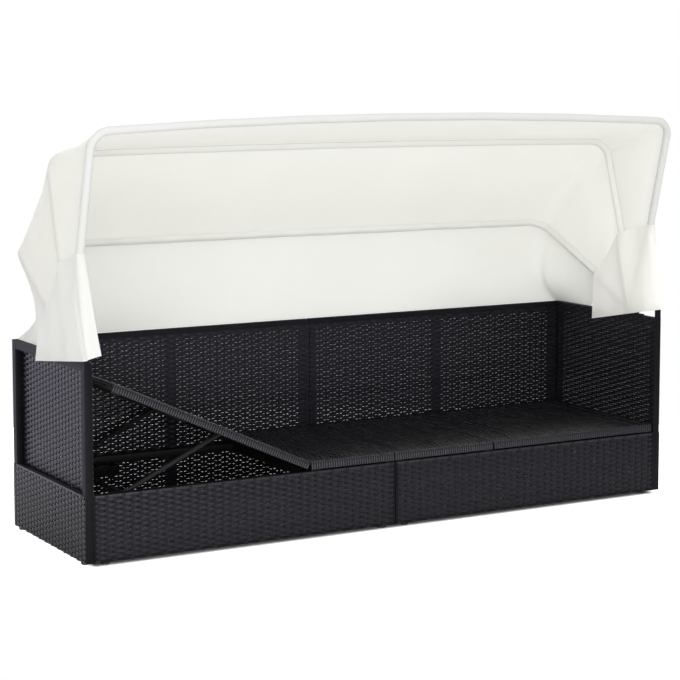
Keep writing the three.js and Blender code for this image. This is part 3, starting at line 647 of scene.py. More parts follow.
# %% The weave tree: strands
RIB_THICK = 0.00115
weave_tree, size = geometry_tree(
    "woven panel", Int=("Rows", "Ribs", "Steps", "Sides"), Material=("Finish",),
    Float=("Row pitch", "Length", "Strand width", "Strand thickness", "Rib pitch", "Rib width", "Height",
           "Rise", "Sway", "Seed", "Fullness"),
)
tree, rib_pitch = weave_tree, size["Rib pitch"]
row_points = point_line(tree, size["Rows"], xyz(tree, 0.0, size["Row pitch"]))
index = first(tree, "GeometryNodeInputIndex")
numbered = first(tree, "GeometryNodeStoreNamedAttribute", {0: row_points, "Name": "row", 3: index})
line = straight_line(tree, xyz(tree, size["Length"]))
stepped = first(tree, "GeometryNodeResampleCurve", {0: line, "Count": size["Steps"]})
strands = on_points(tree, numbered, stepped)
row = first(tree, "GeometryNodeInputNamedAttribute", {"Name": "row"})
along = own_place(tree)[0]
lift = ((along / rib_pitch - 0.5 + row) * math.pi).math("COSINE") * size["Rise"]
drift_at = xyz(tree, along * 5.0, row * 3.7, size["Seed"])
sway = (noise(tree, drift_at, 1.0, 1.0) - 0.5) * size["Sway"]
lifted = first(tree, "GeometryNodeSetPosition", {0: strands, "Offset": xyz(tree, 0.0, sway, lift)})
band = strand_profile(tree, size["Strand width"], size["Strand thickness"], size["Sides"], size["Fullness"])
wefts = swept(tree, lifted, band)
print("strands follow", len(tree.nodes), "nodes")

# %% The weave tree: ribs
rib_points = point_line(tree, size["Ribs"], xyz(tree, rib_pitch))
ribs = on_points(tree, rib_points, straight_line(tree, xyz(tree, 0.0, size["Height"])))
warps = swept(tree, ribs, strand_profile(tree, size["Rib width"], RIB_THICK))
both = add(tree, "GeometryNodeJoinGeometry")
feed(tree, both.inputs[0], wefts)
feed(tree, both.inputs[0], warps)
end_tree(tree, shaded(tree, both.outputs[0]), size["Finish"])

# %% [markdown]
# The weave is made flat and then set on its panel. Its places are kept before that, so that the
# finish knows which strand it is on, and a matrix carries the flat weave to the panel's corner and
# directions. All upright panels have strands of one width and nearly one pitch, as measured on the
# photograph, and those that are seen closest bulge more boldly.

# %% Set a weave on a panel
ROW_PITCH, STRAND_WIDE, STRAND_THICK = 7.95, 7.88, 1.15
RIB_PITCH, RIB_WIDE, RISE = 24.4, 8.0, 1.25
CLOSE_WIDE, BOLD_RISE = 8.1, 2.3
SWAY = 0.4


def set_on(mesh, corner, along, across):
    turn = Matrix((along, across, Vector(along).cross(Vector(across)))).transposed()
    mesh.transform(Matrix.Translation(spot(*corner)) @ turn.to_4x4())
    mesh.update()


def keep_places(mesh, row_pitch, rise):
    co = np.empty(len(mesh.vertices) * 3, np.float32)
    mesh.vertices.foreach_get("co", co)
    co = co.reshape(-1, 3)
    co[:, 1] /= row_pitch
    co[:, 2] = np.clip(co[:, 2] / (2 * rise) + 0.5, 0, 1)
    mesh.attributes.new("weave_place", "FLOAT_VECTOR", "POINT").data.foreach_set("vector", co.ravel())


def woven(name, node, corner, along, across, length, height, pitch=ROW_PITCH, rib=RIB_PITCH, rise=RISE,
          wide=STRAND_WIDE, thick=STRAND_THICK, sides=6, full=3.3, steps=4, seed=1.0, finish=wicker):
    """One woven panel: its lower corner, and its directions along and across the strands."""
    rows, ribs = round(height / pitch), round(length / rib)
    row_pitch, rib_pitch = height / rows * MM, length / ribs * MM
    made = grown(
        weave_tree, name, rows=rows, row_pitch=row_pitch, length=length * MM, strand_width=wide * MM,
        strand_thickness=thick * MM, ribs=ribs, rib_pitch=rib_pitch, rib_width=RIB_WIDE * MM,
        height=height * MM, rise=rise * MM, steps=ribs * steps + 1, sway=SWAY * MM, seed=seed,
        sides=sides, fullness=full, finish=finish,
    )
    keep_places(made.data, row_pitch, rise * MM)
    set_on(made.data, corner, along, across)
    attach(made, body_of(nodes[node])[0])
    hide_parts(node)
    print(name, rows, "strands,", ribs, "ribs,", len(made.data.polygons), "faces")
    return made


# %% The upright panels
X, Y, Z = (1, 0, 0), (0, 1, 0), (0, 0, 1)
BACKWARDS = (0, -1, 0)
FRONT, BACK, TOP, BOX, LOW = -280, 280, 570, 197, 8
BASE_IN, BASE_OUT = 1.5, 974.7
SKIN = 1.5
BACK_Y, BACK_SHORT, BACK_TOP = 257, 3.3, TOP - 18
UPPER_X, UPPER_REAR, LOWER_X, GAP = 972.7, 256.7, 997, 0.3
for side, sign in SIDES.items():
    left, direction = sign < 0, BACKWARDS if sign < 0 else Y
    wide = BASE_OUT - BASE_IN
    corner = (min(sign * BASE_IN, sign * BASE_OUT), FRONT + SKIN, LOW)
    woven(side + "_front_strands", side + "_front_weave", corner, X, Z, wide, BOX - LOW,
          rib=25.6, rise=BOLD_RISE, wide=CLOSE_WIDE, seed=1.3 + sign)
    corner = (min(sign * BASE_IN, sign * (BASE_OUT - BACK_SHORT)), BACK_Y + SKIN, LOW)
    woven(side + "_back_strands", side + "_back_weave", corner, X, Z, wide - BACK_SHORT, BACK_TOP - LOW,
          pitch=7.9, seed=4.1 + sign)
    corner = (sign * (UPPER_X + SKIN), UPPER_REAR - GAP if left else FRONT + GAP, BOX + GAP)
    woven(side + "_side_upper_strands", side + "_side_upper_weave", corner, direction, Z,
          UPPER_REAR - FRONT - 2 * GAP, TOP - BOX - 2 * GAP,
          rise=BOLD_RISE if left else RISE, wide=CLOSE_WIDE, seed=6.7 + sign)
    corner = (sign * (LOWER_X + SKIN), BACK if left else FRONT, LOW)
    woven(side + "_side_lower_strands", side + "_side_lower_weave", corner, direction, Z,
          BACK - FRONT, BOX - LOW, rise=BOLD_RISE, wide=CLOSE_WIDE, seed=8.9 + sign)

# %% [markdown]
# The seat's round strands run from front to back over each panel and are drawn down over its front and
# rear edges. The weave tree makes the flat part. The drawn-down ends are hooks along each edge, so a
# second small tree bends one curve over the edge and repeats it.

# %% The wrapped edge tree
SEAT_PITCH, SEAT_WIDE, SEAT_THICK = 8.0, 6.2, 4.6
ROUND = {"sides": 10, "full": 0.8}
WRAP_REACH, WRAP_DROP, WRAP_PROUD = 12, 21, 1.2
edge_tree, size = geometry_tree(
    "wrapped edge", Int=("Count",), Material=("Finish",),
    Float=("Pitch", "Strand width", "Strand thickness", "Reach", "Drop", "Proud"),
)
tree, before = edge_tree, size["Proud"] * -1.0
points = point_line(tree, size["Count"], xyz(tree, 0.0, size["Pitch"]))
hook = first(
    tree, "GeometryNodeCurvePrimitiveBezierSegment",
    {
        "Resolution": 7, "Start": xyz(tree, size["Reach"]),
        "Start Handle": xyz(tree, before, 0.0, size["Proud"] * 0.4),
        "End Handle": xyz(tree, before, 0.0, before), "End": xyz(tree, before, 0.0, size["Drop"] * -1.0),
    },
)
hooks = on_points(tree, points, hook)
across_hook = first(tree, "GeometryNodeSetCurveNormal", {0: hooks, "Normal": Y}, mode="FREE")
band = strand_profile(tree, size["Strand width"], size["Strand thickness"], **ROUND)
bent = first(tree, "GeometryNodeCurveToMesh", {0: across_hook, 1: band, "Fill Caps": True})
end_tree(tree, shaded(tree, bent), size["Finish"])


def wrapped(name, body, corner, along, across, length):
    """The ends of a seat panel's strands, drawn down over one of its edges."""
    count = round(length / SEAT_PITCH)
    pitch = length / count * MM
    made = grown(
        edge_tree, name, count=count, pitch=pitch, strand_width=SEAT_WIDE * MM,
        strand_thickness=SEAT_THICK * MM, reach=WRAP_REACH * MM, drop=WRAP_DROP * MM,
        proud=WRAP_PROUD * MM, finish=seat_wicker,
    )
    keep_places(made.data, pitch, 0.002)
    set_on(made.data, corner, along, across)
    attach(made, body)


# %% [markdown]
# The four panels share one rule: a corner and two directions, turned about the hinge line by the panel's
# own angle. So the raised backrest is the same weave as the flat ones, set on a slope, and the two
# lifting panels also get a few rows of strands on the end face that shows when they stand up.

# %% The seat panels
PANEL_FRONT, PANEL_BACK = -274, 251
HINGE_Z, HINGE_UP, HINGE_GAP = 220, 5, 2.6
HINGE_X = {"left": 288, "right": 356}
BACKREST_END = 969.5
RAISED = {"left": 24.5, "right": 0}
SEAT_INSET, SEAT_RISE = 5, 0.4
END_ROWS, END_PITCH, END_WIDE, END_THICK = 3, 7.4, 7.0, 1.8
END_INSET, END_RISE, END_RIB, END_CLEAR = 2, 0.1, 60, 0.1
DEPTH = PANEL_BACK - PANEL_FRONT


def seat_panel(name, node, hinge_side, outward, start, end, angle):
    """A panel from start to end, outward from a hinge line, raised by an angle."""
    sign, turn = SIDES[hinge_side], math.radians(angle)
    out_way = Vector((outward * math.cos(turn), 0, math.sin(turn)))
    up_way = Vector((-outward * math.sin(turn), 0, math.cos(turn)))
    near, leftwards = (start, out_way) if outward < 0 else (end, -out_way)
    hinge = Vector((sign * HINGE_X[hinge_side], 0, HINGE_Z))
    corner = hinge + out_way * near + up_way * (HINGE_UP - SKIN)
    made = woven(name + "_strands", node, corner + Vector((0, PANEL_FRONT + SEAT_INSET, 0)), Y, leftwards,
                 DEPTH - 2 * SEAT_INSET, end - start, pitch=SEAT_PITCH, rise=SEAT_RISE, wide=SEAT_WIDE,
                 thick=SEAT_THICK, steps=2, seed=2.2 + near / 97, finish=seat_wicker, **ROUND)
    body = body_of(made)[0]
    wrapped(name + "_front_wrap", body, corner + Vector((0, PANEL_FRONT, 0)), Y, leftwards, end - start)
    far = corner + leftwards * (end - start)
    wrapped(name + "_rear_wrap", body, far + Vector((0, PANEL_BACK, 0)), BACKWARDS, -leftwards, end - start)
    if "backrest" in name:
        height = END_ROWS * END_PITCH
        edge = hinge + out_way * (end + END_CLEAR) + up_way * HINGE_UP
        down, low = (up_way * -1, 0) if outward > 0 else (up_way, height)
        woven(name + "_end_strands", node, edge - up_way * low + Vector((0, PANEL_FRONT + END_INSET, 0)), Y,
              down, DEPTH - 2 * END_INSET, height, pitch=END_PITCH, rib=END_RIB, rise=END_RISE,
              wide=END_WIDE, thick=END_THICK, steps=2, seed=5.5 + sign, finish=seat_wicker, **ROUND)


for side, sign in SIDES.items():
    hinge = HINGE_X[side]
    seat_panel(side + "_seat", side + "_seat_weave", side, -sign, HINGE_GAP, hinge - BASE_IN, 0)
    seat_panel(side + "_backrest", side + "_backrest_weave", side, sign, HINGE_GAP, BACKREST_END - hinge,
               RAISED[side])

# %% [markdown]
# ## Trim
# A flat strand binds the edges of each front panel, so that the woven ends are never seen, and another lies
# on the ledge where the end frame steps in. Each is a short closed strip with rounded edges, pressed
# against the weave. The top binding and the ledge strand are painted lighter than the rest, a painted
# highlight along these upper edges. The same helper makes the small cap that stands on each front post.

# %% Bindings and caps
BIND_WIDE, BIND_PROUD, BIND_DEEP = 7, 0.6, 3
UPRIGHT_WIDE, UPRIGHT_PROUD = 6, 0.8
LEDGE_X, LEDGE_Y, LEDGE_Z = (984, 1000.5), (FRONT + 25.5, 256), (BOX - 3, BOX + 2.4)
CAP_X, CAP_Y, CAP_Z = (981, 997), (FRONT, FRONT + 12), (TOP - 1, TOP + 29)


def strip(name, low, high, finish, round_by=0.8):
    """A closed flat strip on the bed between two corners of the drawing, with rounded edges."""
    work = bmesh.new()
    bmesh.ops.create_cube(work, size=1)
    a, b = spot(*low), spot(*high)
    for vertex in work.verts:
        vertex.co = (a + b) / 2 + Vector(vertex.co[i] * (b[i] - a[i]) for i in range(3))
    bmesh.ops.bevel(work, geom=work.edges[:], offset=round_by * MM, segments=2, affect="EDGES", profile=0.6)
    mesh = bpy.data.meshes.new(name)
    work.to_mesh(mesh)
    work.free()
    smooth_up_to(mesh, 50)
    made = shown(name, mesh)
    paint(mesh, finish)
    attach(made, "bed")


for side, sign in SIDES.items():
    near, far = sorted((sign * BASE_IN, sign * BASE_OUT))
    deep, face, upright_face = FRONT + BIND_DEEP, FRONT - BIND_PROUD, FRONT - UPRIGHT_PROUD
    front = side + "_front_"
    # The top binding and the ledge strand take the lighter copy, a painted highlight along these upper edges.
    strip(front + "top_binding", (near, face, BOX - BIND_WIDE), (far, deep, BOX + BIND_PROUD), lit_edge_wicker)
    strip(front + "foot_binding", (near, face, LOW), (far, deep, LOW + BIND_WIDE), flat_wicker)
    strip(front + "near_binding", (near, upright_face, LOW), (near + UPRIGHT_WIDE, deep, BOX), flat_wicker)
    strip(front + "far_binding", (far - UPRIGHT_WIDE, upright_face, LOW), (far, deep, BOX), flat_wicker)
    low, high = zip(sorted(sign * x for x in LEDGE_X), LEDGE_Y, LEDGE_Z)
    strip(side + "_ledge_binding", low, high, lit_edge_wicker, round_by=2.2)
    low, high = zip(sorted(sign * x for x in CAP_X), CAP_Y, CAP_Z)
    strip(side + "_post_cap", low, high, flat_wicker, 1.5)
print("front panels and ledges bound, and the front posts capped")

# %% [markdown]
# ## Hood
# The hood is five sewn panels. Two gores are stretched between the bows, a curtain hangs from the rear
# bow to the rails, and a skirt hangs from each side. Each is a sheet between two lines, so one helper lays
# a grid over its surface, keeps its cut as a UV map in metres and gives the cloth its thickness.
# The lines come first. A bow is two arms, two bends and a bar, and a share from 0 to 1 runs along it from
# the left hem to the right one.

# %% Shares along a bow
ARM_ENDS, BEND_ENDS = 0.3, 0.4
PART_SHARE = 0.1  # of a bend, and of half the bar


def between(share, low, high):
    return low + (high - low) * share


def bulge(v):
    return 4 * v * (1 - v)


def waves(count, share):
    """This many smooth waves over a share from 0 to 1, each from nought to one and back."""
    return (1 - math.cos(2 * math.pi * count * share)) / 2


def even(low, high, count):
    return [low + (high - low) * i / count for i in range(count + 1)]


def part_of_bow(share):
    """The part of a bow that a share lies in, how far along that part, and the side it is on."""
    half, sign = (share, -1) if share < 0.5 else (1 - share, 1)
    if half <= ARM_ENDS:
        return "arm", half / ARM_ENDS, sign
    if half <= BEND_ENDS:
        return "bend", (half - ARM_ENDS) / PART_SHARE, sign
    return "bar", (half - BEND_ENDS) / PART_SHARE, sign


def stations(arm, bend, bar):
    """Shares along a bow, with this many steps over each arm, each bend and the bar."""
    return (
        even(0, ARM_ENDS, arm)[:-1] + even(ARM_ENDS, BEND_ENDS, bend)[:-1] + even(BEND_ENDS, 0.6, bar)
        + even(0.6, 0.7, bend)[1:] + even(0.7, 1, arm)[1:]
    )


HOOP = stations(16, 12, 80)
print(len(HOOP), "stations along a bow")

# %% The bows' lines
PIVOT_Y, PIVOT_Z = -160, 592
BEND, SPLAY_FROM = 55, 125
BOWS = {
    "front": {"lean": -15, "reach": 636, "arm": 986.5, "half": 984, "rise": 25, "hem": 287},
    "middle": {"lean": 17, "reach": 561, "arm": 982.2, "half": 980, "rise": 8, "hem": 253},
    "rear": {"lean": 63.5, "reach": 554, "arm": 977.9, "half": 957.9, "rise": 4, "hem": 215},
}
LIFT = 9.8


def bow_line(name):
    """A bow's line: arms that splay a little, round bends and a bar that rises to its middle."""
    bow = BOWS[name]
    lean, bend_x, bend_z = math.radians(bow["lean"]), bow["half"] - BEND, bow["reach"] - BEND

    def place(u):
        part, along, sign = part_of_bow(u)
        turn, bar = along * math.pi / 2, 1 - along
        if part == "arm":
            reach = between(along, bow["hem"], bend_z)
            splay = max((reach - SPLAY_FROM) / (bend_z - SPLAY_FROM), 0)
            x = between(splay, bow["arm"], bow["half"])
        elif part == "bend":
            x, reach = bend_x + BEND * math.cos(turn), bend_z + BEND * math.sin(turn)
        else:
            x, reach = bend_x * bar, bow["reach"] + bow["rise"] * (1 - bar * bar)
        upright = Vector((sign * x, 0, reach))
        y, z = PIVOT_Y + upright.z * math.sin(lean), PIVOT_Z + upright.z * math.cos(lean)
        return Vector((upright.x, y, z))

    return place


print("the bars' middles stand at", {name: round(bow_line(name)(0.5).z) for name in BOWS}, "mm")

# %% The curtain's hem
HEM_X, HEM_START_Y, HEM_CORNER = 986, 78, 20
HEM_RAIL_Y, HEM_Z = BACK - 5, TOP + 2.2


def curtain_hem(u):
    """The line along the side rails and the rear rail, round their corners, where the curtain ends."""
    part, along, sign = part_of_bow(u)
    turn, round_x, round_y = along * math.pi / 2, HEM_X - HEM_CORNER, HEM_RAIL_Y - HEM_CORNER
    if part == "arm":
        return Vector((sign * HEM_X, between(along, HEM_START_Y, round_y), HEM_Z))
    if part == "bend":
        x, y = round_x + HEM_CORNER * math.cos(turn), round_y + HEM_CORNER * math.sin(turn)
        return Vector((sign * x, y, HEM_Z))
    return Vector((sign * round_x * (1 - along), HEM_RAIL_Y, HEM_Z))


print("the hem runs from", [round(x) for x in curtain_hem(0)], "to", [round(x) for x in curtain_hem(1)])

# %% The lines over the bows
STEP = 1e-4


def outward(line_a, line_b, u):
    """The way out of the hood, square to the sheet between two lines."""
    along = line_a(u + STEP) - line_a(u - STEP) + line_b(u + STEP) - line_b(u - STEP)
    return along.cross(line_b(u) - line_a(u)).normalized()


def neighbours(name):
    """The pairs of lines that the sheets beside a bow are stretched between."""
    pairs = {
        "front": [("front", "middle")],
        "middle": [("front", "middle"), ("middle", "rear")],
        "rear": [("middle", "rear"), ("rear", None)],
    }
    return [(bow_line(a), bow_line(b) if b else curtain_hem) for a, b in pairs[name]]


def lifted_line(name):
    """The line over a bow where the two sheets beside it meet."""
    line, pairs = bow_line(name), neighbours(name)

    def place(u):
        way = sum((outward(a, b, u) for a, b in pairs), Vector()).normalized()
        return line(u) + way * LIFT

    return place


print("lines over", len(BOWS), "bows")

# %% Lay a sheet of cloth
CLOTH = 0.0014


def cloth_mesh(name, surface, columns, rows):
    """A grid over surface(u, v), with the lengths along it as a UV map."""
    grid = np.array([[tuple(spot(*surface(u, v))) for u in columns] for v in rows])
    wide, long = np.zeros(grid.shape[:2]), np.zeros(grid.shape[:2])
    wide[:, 1:] = np.cumsum(np.linalg.norm(np.diff(grid, axis=1), axis=2), axis=1)
    long[1:] = np.cumsum(np.linalg.norm(np.diff(grid, axis=0), axis=2), axis=0)
    count = len(columns)
    faces = [
        (r * count + c, r * count + c + 1, (r + 1) * count + c + 1, (r + 1) * count + c)
        for r in range(len(rows) - 1)
        for c in range(count - 1)
    ]
    mesh = bpy.data.meshes.new(name)
    mesh.from_pydata(grid.reshape(-1, 3).tolist(), [], faces)
    uv = mesh.uv_layers.new(name="cloth_place")
    place = np.stack((wide.ravel(), long.ravel()), axis=1)
    corner = np.empty(len(mesh.loops), np.int32)
    mesh.loops.foreach_get("vertex_index", corner)
    uv.data.foreach_set("uv", place[corner].astype(np.float32).ravel())
    return mesh, (float(wide[:, -1].mean()), float(long[-1].mean()))


def cloth_sheet(name, surface, columns, rows, finish, node=None, thick=CLOTH):
    """A closed sheet of this thickness, which may stand for a CAD node."""
    mesh, flat = cloth_mesh(name, surface, columns, rows)
    made = shown(name, mesh)
    wall = made.modifiers.new("thickness", "SOLIDIFY")
    wall.thickness, wall.offset = thick, 0
    mesh = baked(made)
    paint(mesh, finish)
    smooth_up_to(mesh, 50)
    if node:
        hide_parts(node)
    return made


# %% [markdown]
# A gore is taut between two bows, so its surface is a straight blend of their lines, let in a little in
# the middle, with soft drag lines where a bend of the bow pulls at it. When the hood folds, one edge goes
# with each bow, so each gore is blended over the two bodies.

# %% The gores
TOP_SAG, SIDE_SAG, SOFTNESS = 9, 10, 1.2
DRAG_DEEP, DRAG_AT, DRAG_SPREAD = 2.0, 0.36, 0.07


def sideness(u):
    """One along the arms and nought along the bar."""
    part, along, _ = part_of_bow(u)
    return {"arm": 1.0, "bend": math.cos(along * math.pi / 2), "bar": 0.0}[part]


def tension(u, v):
    """Soft drag lines that run from a bend of the bow into the sheet."""
    half = min(u, 1 - u)
    near = math.exp(-(((half - DRAG_AT) / DRAG_SPREAD) ** 2))
    return DRAG_DEEP * near * math.sin((half - ARM_ENDS) * 95 + v * 7) * bulge(v)


def gore_surface(name_a, name_b, seed):
    line_a, line_b = bow_line(name_a), bow_line(name_b)
    edge_a, edge_b = lifted_line(name_a), lifted_line(name_b)

    def surface(u, v):
        slack = between(sideness(u), TOP_SAG, SIDE_SAG) * bulge(v)
        soft = SOFTNESS * math.sin(u * 61 + seed) * math.sin(v * 5.1 + u * 17 + seed) * bulge(v)
        return edge_a(u).lerp(edge_b(u), v) + outward(line_a, line_b, u) * (soft - slack + tension(u, v))

    return surface


front_surface, middle_surface = gore_surface("front", "middle", 0.4), gore_surface("middle", "rear", 2.1)
front_gore = cloth_sheet(
    "front_gore", front_surface, HOOP, even(0, 1, 18), cloth,
    "canopy_front_cloth",
)
middle_gore = cloth_sheet(
    "middle_gore", middle_surface, HOOP, even(0, 1, 18), cloth,
    "canopy_middle_cloth",
)
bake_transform(front_gore, "front_bow", "middle_bow", start=spot(0, -234, 800), end=spot(0, -86, 800))
start, end = spot(0, PIVOT_Y - 76.3, PIVOT_Z + 64.6), spot(0, PIVOT_Y + 64.9, PIVOT_Z - 54.9)
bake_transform(middle_gore, "middle_bow", "rear_bow", start=start, end=end)

# %% [markdown]
# The curtain hangs free from the rear bow to the rails. It is drawn in at the corners, where the hem is
# shorter than the bow, and falls in three slow folds along the rear, so it is the straight blend of its
# two lines with those two shapes added.

# %% The rear curtain
DRAWN_IN, CORNER_OUT, FOLD_DEEP, FOLDS, RIPPLE = 62, 15, 14, 3, 1.6


def corner_pull(u):
    """How hard the curtain is drawn in: up along an arm, fully at the bend, and down to the middle."""
    part, along, _ = part_of_bow(u)
    return {"arm": along**2, "bend": 1, "bar": 1 - along}[part]


def curtain_surface(u, v):
    point = lifted_line("rear")(u).lerp(curtain_hem(u), v)
    pull = bulge(v**1.5) * corner_pull(u)
    bar = min(max((u - BEND_ENDS) / 0.2, 0), 1)
    ripple = RIPPLE * math.sin(u * 83) * bulge(v) * (1 - corner_pull(u) * 0.6)
    point.x -= part_of_bow(u)[2] * DRAWN_IN * pull
    point.y -= CORNER_OUT * pull + FOLD_DEEP * waves(FOLDS, bar) * bulge(v) + ripple
    return point


curtain = cloth_sheet(
    "rear_curtain", curtain_surface, HOOP, even(0, 1, 26), shaded_curtain_cloth,
    "canopy_rear_curtain",
)
start, end = spot(0, PIVOT_Y - 10.9, PIVOT_Z + 56), spot(0, PIVOT_Y + 12.4, PIVOT_Z - 63.8)
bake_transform(curtain, "rear_bow", "bed", start=start, end=end)

# %% [markdown]
# A skirt hangs from the lower edge of the gores at each end. The left one falls outside the end frame and
# the right one inside it, and both wrap round the front arm. Each is a hanging surface, from the line
# through the bows' hems down to its own free edge, whose top is then drawn to the seam. It is cut in two
# at the middle bow, because a piece can be blended over two bodies only.

# %% Lines of the skirts
WRAP = 0.14
WRAP_RADIUS, WRAP_ROUND = 12, 0.6
OUTERMOST, FRONTMOST = 1002, FRONT - 22
WAVE_DEEP, WAVES = 2, 3
HEM_CORNERS = [bow_line(name)(1) for name in BOWS]


def hem_line(share):
    """The line through the right hems of the three bows, from front to rear."""
    place = min(max(share, 0), 1) * 2
    low = min(int(place), 1)
    return HEM_CORNERS[low].lerp(HEM_CORNERS[low + 1], place - low)


def gore_edge(u, end):
    """The lower edge of the gores, from the front bow to the rear bow."""
    return front_surface(end, 2 * u) if u < 0.5 else middle_surface(end, 2 * u - 1)


def skirt_wave(u, v):
    return WAVE_DEEP * v * waves(WAVES, u)


def round_arm(u, start, end):
    """Round the front arm at its hem, from one turn to another seen from above, and the share past it."""
    share = min(u / WRAP / WRAP_ROUND, 1)
    turn = between(share, start, end) * math.pi
    past = max(u / WRAP - WRAP_ROUND, 0) / (1 - WRAP_ROUND) * WRAP
    return Vector((math.cos(turn), -math.sin(turn), 0)) * WRAP_RADIUS, past


def pinned(base, top, u, v, fade):
    """A hanging surface whose top edge is drawn to its seam, and less so further down."""
    return base(u, v) + (top(u) - base(u, 0)) * (1 - v) ** fade


def rearward(u):
    """Nought up to the wrap and one from the middle bow on, where a skirt clears the rail."""
    return min(max(u - WRAP, 0) / (0.5 - WRAP), 1)


print("skirts hang from", [round(x) for x in hem_line(0)], "to", [round(x) for x in hem_line(1)])

# %% The left skirt, outside the end frame
LEFT_FLARE, LEFT_FADE = (2, 5.5), (2, 8)
LEFT_REAR_Y, LEFT_FREE_EDGE = 75, (16, -38)
CURL_IN, CURL_UP = (20, 47), 5
CORNER_ROUND, CORNER_SHARE, LEFT_TURN = 10, 0.08, (0.2, 1.0)


def left_hang(u, v):
    top = hem_line(u)
    curl = max(1 - u / WRAP, 0) ** 2
    along = max((u - WRAP) / (1 - WRAP), 0)
    flared = between(1 - (1 - v) ** between(rearward(u), *LEFT_FLARE), top.x + LIFT, OUTERMOST)
    x = flared - curl * between(v, *CURL_IN) - skirt_wave(along, v)
    low_z = TOP + between(u, *LEFT_FREE_EDGE) + curl * CURL_UP
    corner = CORNER_ROUND * v * max(1 - abs(u - WRAP) / CORNER_SHARE, 0) ** 2
    y = between(v, top.y, between(along, FRONTMOST, LEFT_REAR_Y))
    return Vector((corner - x, y + corner, between(v, top.z, low_z)))


def left_seam(u):
    if u >= WRAP:
        return gore_edge(u, 0)
    offset, past = round_arm(u, *LEFT_TURN)
    corner = hem_line(past)
    return Vector((-corner.x, corner.y, corner.z)) + offset


def left_skirt_surface(u, v):
    return pinned(left_hang, left_seam, u, v, between(rearward(u), *LEFT_FADE))


print("the left skirt's front corner hangs at", [round(x) for x in left_skirt_surface(WRAP, 1)])

# %% The right skirt, inside the end frame
RIGHT_FADE = (2, 5)
RIGHT_REAR_Y, RIGHT_FREE_EDGE = 42, (31, -35)
SEAM_BOW, SEAM_EASE, TURN_SHARE, RIGHT_TURN = 9, 0.1, 0.2, (0.15, 1.0)
HELD_OFF = {"middle": 9, "rear": 5}
ARM_FADE, ARM_SPREAD = 60, 22


def over_arms(y, z):
    """How far a cloth is held off by the arms behind it, from the hems down to the pivot."""
    most = 0
    for name, deep in HELD_OFF.items():
        lean = math.radians(BOWS[name]["lean"])
        reach = (y - PIVOT_Y) * math.sin(lean) + (z - PIVOT_Z) * math.cos(lean)
        aside = (y - PIVOT_Y) * math.cos(lean) - (z - PIVOT_Z) * math.sin(lean)
        fade_up, fade_down = (BOWS[name]["hem"] - reach) / ARM_FADE, (reach + 20) / ARM_FADE
        fade = min(max(fade_up, 0), 1) * min(max(fade_down, 0), 1)
        most = max(most, deep * fade * math.exp(-((abs(aside) / ARM_SPREAD) ** 1.3)))
    return most


def right_hang(u, v):
    top = hem_line(u)
    turn = max(1 - u / TURN_SHARE, 0) ** 2
    low_x = between(turn, HEM_CORNERS[2].x - LIFT, OUTERMOST)
    x = between(between(turn, v * v, v), top.x - LIFT - 2, low_x) - skirt_wave(u, v)
    y = between(v, top.y, between(u, FRONTMOST, RIGHT_REAR_Y))
    z = between(v, top.z, TOP + between(u, *RIGHT_FREE_EDGE))
    return Vector((x - over_arms(y, z), y, z))


def past_wrap(u):
    return min((u - WRAP) / SEAM_EASE, 1)


def right_seam(u):
    if u >= WRAP:
        return right_hang(u, 0) + Vector((SEAM_BOW * bulge(u * 2 % 1) * past_wrap(u), 0, 0))
    offset, past = round_arm(u, *RIGHT_TURN)
    return hem_line(past) + offset


def right_skirt_surface(u, v):
    return pinned(right_hang, right_seam, u, v, between(max(past_wrap(u), 0), *RIGHT_FADE))


print("the right skirt's front corner hangs at", [round(x) for x in right_skirt_surface(WRAP, 1)])

# %% Hang the skirts
# The left skirt wears the darker cloth, painted shade, and the rear of the right skirt the lighter, warmer one,
# painted light reflected inside the hood.
SKIRT_CLOTHS = {
    "left_front": shaded_skirt_cloth, "left_rear": shaded_skirt_cloth, "right_front": cloth, "right_rear": lit_inner_cloth
}
for side, surface in (("left", left_skirt_surface), ("right", right_skirt_surface)):
    for part, shares in (("front", even(0, WRAP, 16) + even(WRAP, 0.5, 20)[1:]), ("rear", even(0.5, 1, 30))):
        skirt = cloth_sheet(
            side + "_skirt_" + part, surface, shares, even(0, 1, 24), SKIRT_CLOTHS[side + "_" + part],
            "canopy_" + side + "_skirt",
        )
        if part == "front":
            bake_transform(skirt, "front_bow", "middle_bow", start=spot(0, -234, 868), end=spot(0, -104.3, 799))
        else:
            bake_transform(skirt, "middle_bow", "rear_bow", start=spot(0, -86, 700), end=spot(0, 32, 700))

# %% [markdown]
# Each bow runs in a sleeve sewn to the gores. The front one is a round tube of the same cloth, and the
# other two are flat pockets under the gores. All are a little looser than the bow, with shallow creases
# round them where the cloth is gathered.

# %% Sleeves
SLEEVE_RADIUS, SLEEVE_CLOTH = 11, 0.001
POCKET_HALF, POCKET_EDGE, POCKET_OVER, POCKET_UNDER = 13.5, 2.2, 8.6, -9.4


def pocket(turn):
    """A flat pocket's outline: taut below, close to the sheets above and pointed at its seams."""
    wide = math.cos(turn)
    if math.sin(turn) >= 0:
        return POCKET_HALF * wide, between(wide * wide, POCKET_OVER, POCKET_EDGE)
    return POCKET_HALF * wide, between(abs(wide) ** 1.6, POCKET_UNDER, POCKET_EDGE)


def ring(turn):
    return SLEEVE_RADIUS * math.cos(turn), SLEEVE_RADIUS * math.sin(turn)


OUTLINES = {"front": ring, "middle": pocket, "rear": pocket}


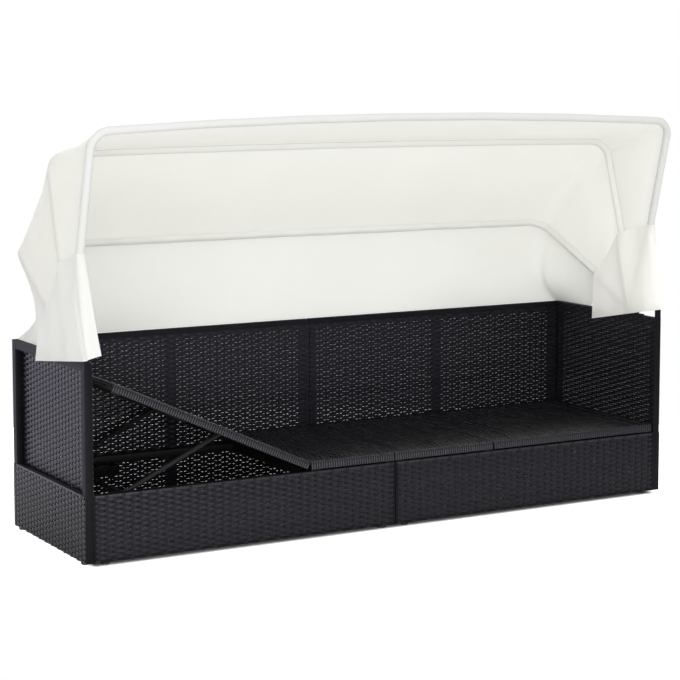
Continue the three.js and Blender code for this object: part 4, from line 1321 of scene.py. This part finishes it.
def sleeve_place(bow_name, u, turn, proud=0):
    """A place on a sleeve, by its share along the bow and its turn round it, and how far it stands proud."""
    line, over = bow_line(bow_name), lifted_line(bow_name)
    way = (line(u + STEP) - line(u - STEP)).normalized()
    up = over(u) - line(u)
    up = (up - way * up.dot(way)).normalized()
    wide, high = OUTLINES[bow_name](turn)
    crease = 1 + 0.03 * math.sin(u * 190 + turn * 3 / math.pi) + 0.02 * math.sin(u * 77 + turn * 6 / math.pi)
    round_it = up.cross(way) * wide + up * high
    return line(u) + round_it * crease + round_it.normalized() * proud


def sleeve(bow_name):
    def surface(u, v):
        return sleeve_place(bow_name, u, 2 * math.pi * v)

    # The sleeves wear darker copies of the cloth, painted shade, the front one darkest.
    made = cloth_sheet(
        bow_name + "_bow_sleeve", surface, stations(26, 14, 110), even(0, 1, 24),
        shaded_edge_cloth if bow_name == "front" else shaded_sleeve_cloth,
        thick=SLEEVE_CLOTH,
    )
    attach(made, bow_name + "_bow")


for bow_name in BOWS:
    sleeve(bow_name)

# %% [markdown]
# Both edges of each sleeve are sewn down with a row of lock stitches. A row follows a path, so Geometry
# Nodes lay it: the path is cut into equal lengths, and each point gets one short thread, turned along the
# path.

# %% Stitches
STITCH_SPACING, STITCH_LONG, STITCH_THICK = 5.0, 3.4, 0.7
SEAM_TURNS = (-0.5, math.pi + 0.5)
stitch_tree, size = geometry_tree(
    "stitches", Geometry=("Path",), Float=("Spacing", "Long", "Thick"), Material=("Finish",)
)
tree = stitch_tree
path = first(tree, "GeometryNodeMeshToCurve", {0: size["Path"]})
cut = first(tree, "GeometryNodeResampleCurve", {0: path, "Length": size["Spacing"]}, mode="LENGTH")
ring_of_five = {"Resolution": 5, "Radius": size["Thick"] * 0.5}
round_thread = first(tree, "GeometryNodeCurvePrimitiveCircle", ring_of_five)
one = swept(tree, straight_line(tree, xyz(tree, size["Long"])), round_thread)
tangent = first(tree, "GeometryNodeInputTangent")
turned = first(tree, "FunctionNodeAlignRotationToVector", {"Vector": tangent}, axis="X")
laid = first(tree, "GeometryNodeInstanceOnPoints", {0: cut, 2: one, "Rotation": turned})
end_tree(tree, laid, size["Finish"])


def stitches(bow_name):
    """Two rows of stitches along the edges of a sleeve."""
    name, shares = bow_name + "_bow_stitches", even(0.01, 0.99, 400)
    places = [
        spot(*sleeve_place(bow_name, u, turn, STITCH_THICK)) for turn in SEAM_TURNS for u in shares
    ]
    mesh = bpy.data.meshes.new(name)
    edges = [(i, i + 1) for i in range(len(places) - 1) if i + 1 != len(shares)]
    mesh.from_pydata(places, edges, [])
    made = grown(
        stitch_tree, name, mesh, spacing=STITCH_SPACING * MM, long=STITCH_LONG * MM,
        thick=STITCH_THICK * MM, finish=thread,
    )
    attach(made, bow_name + "_bow")
    print(name, len(made.data.polygons), "faces")


for bow_name in BOWS:
    stitches(bow_name)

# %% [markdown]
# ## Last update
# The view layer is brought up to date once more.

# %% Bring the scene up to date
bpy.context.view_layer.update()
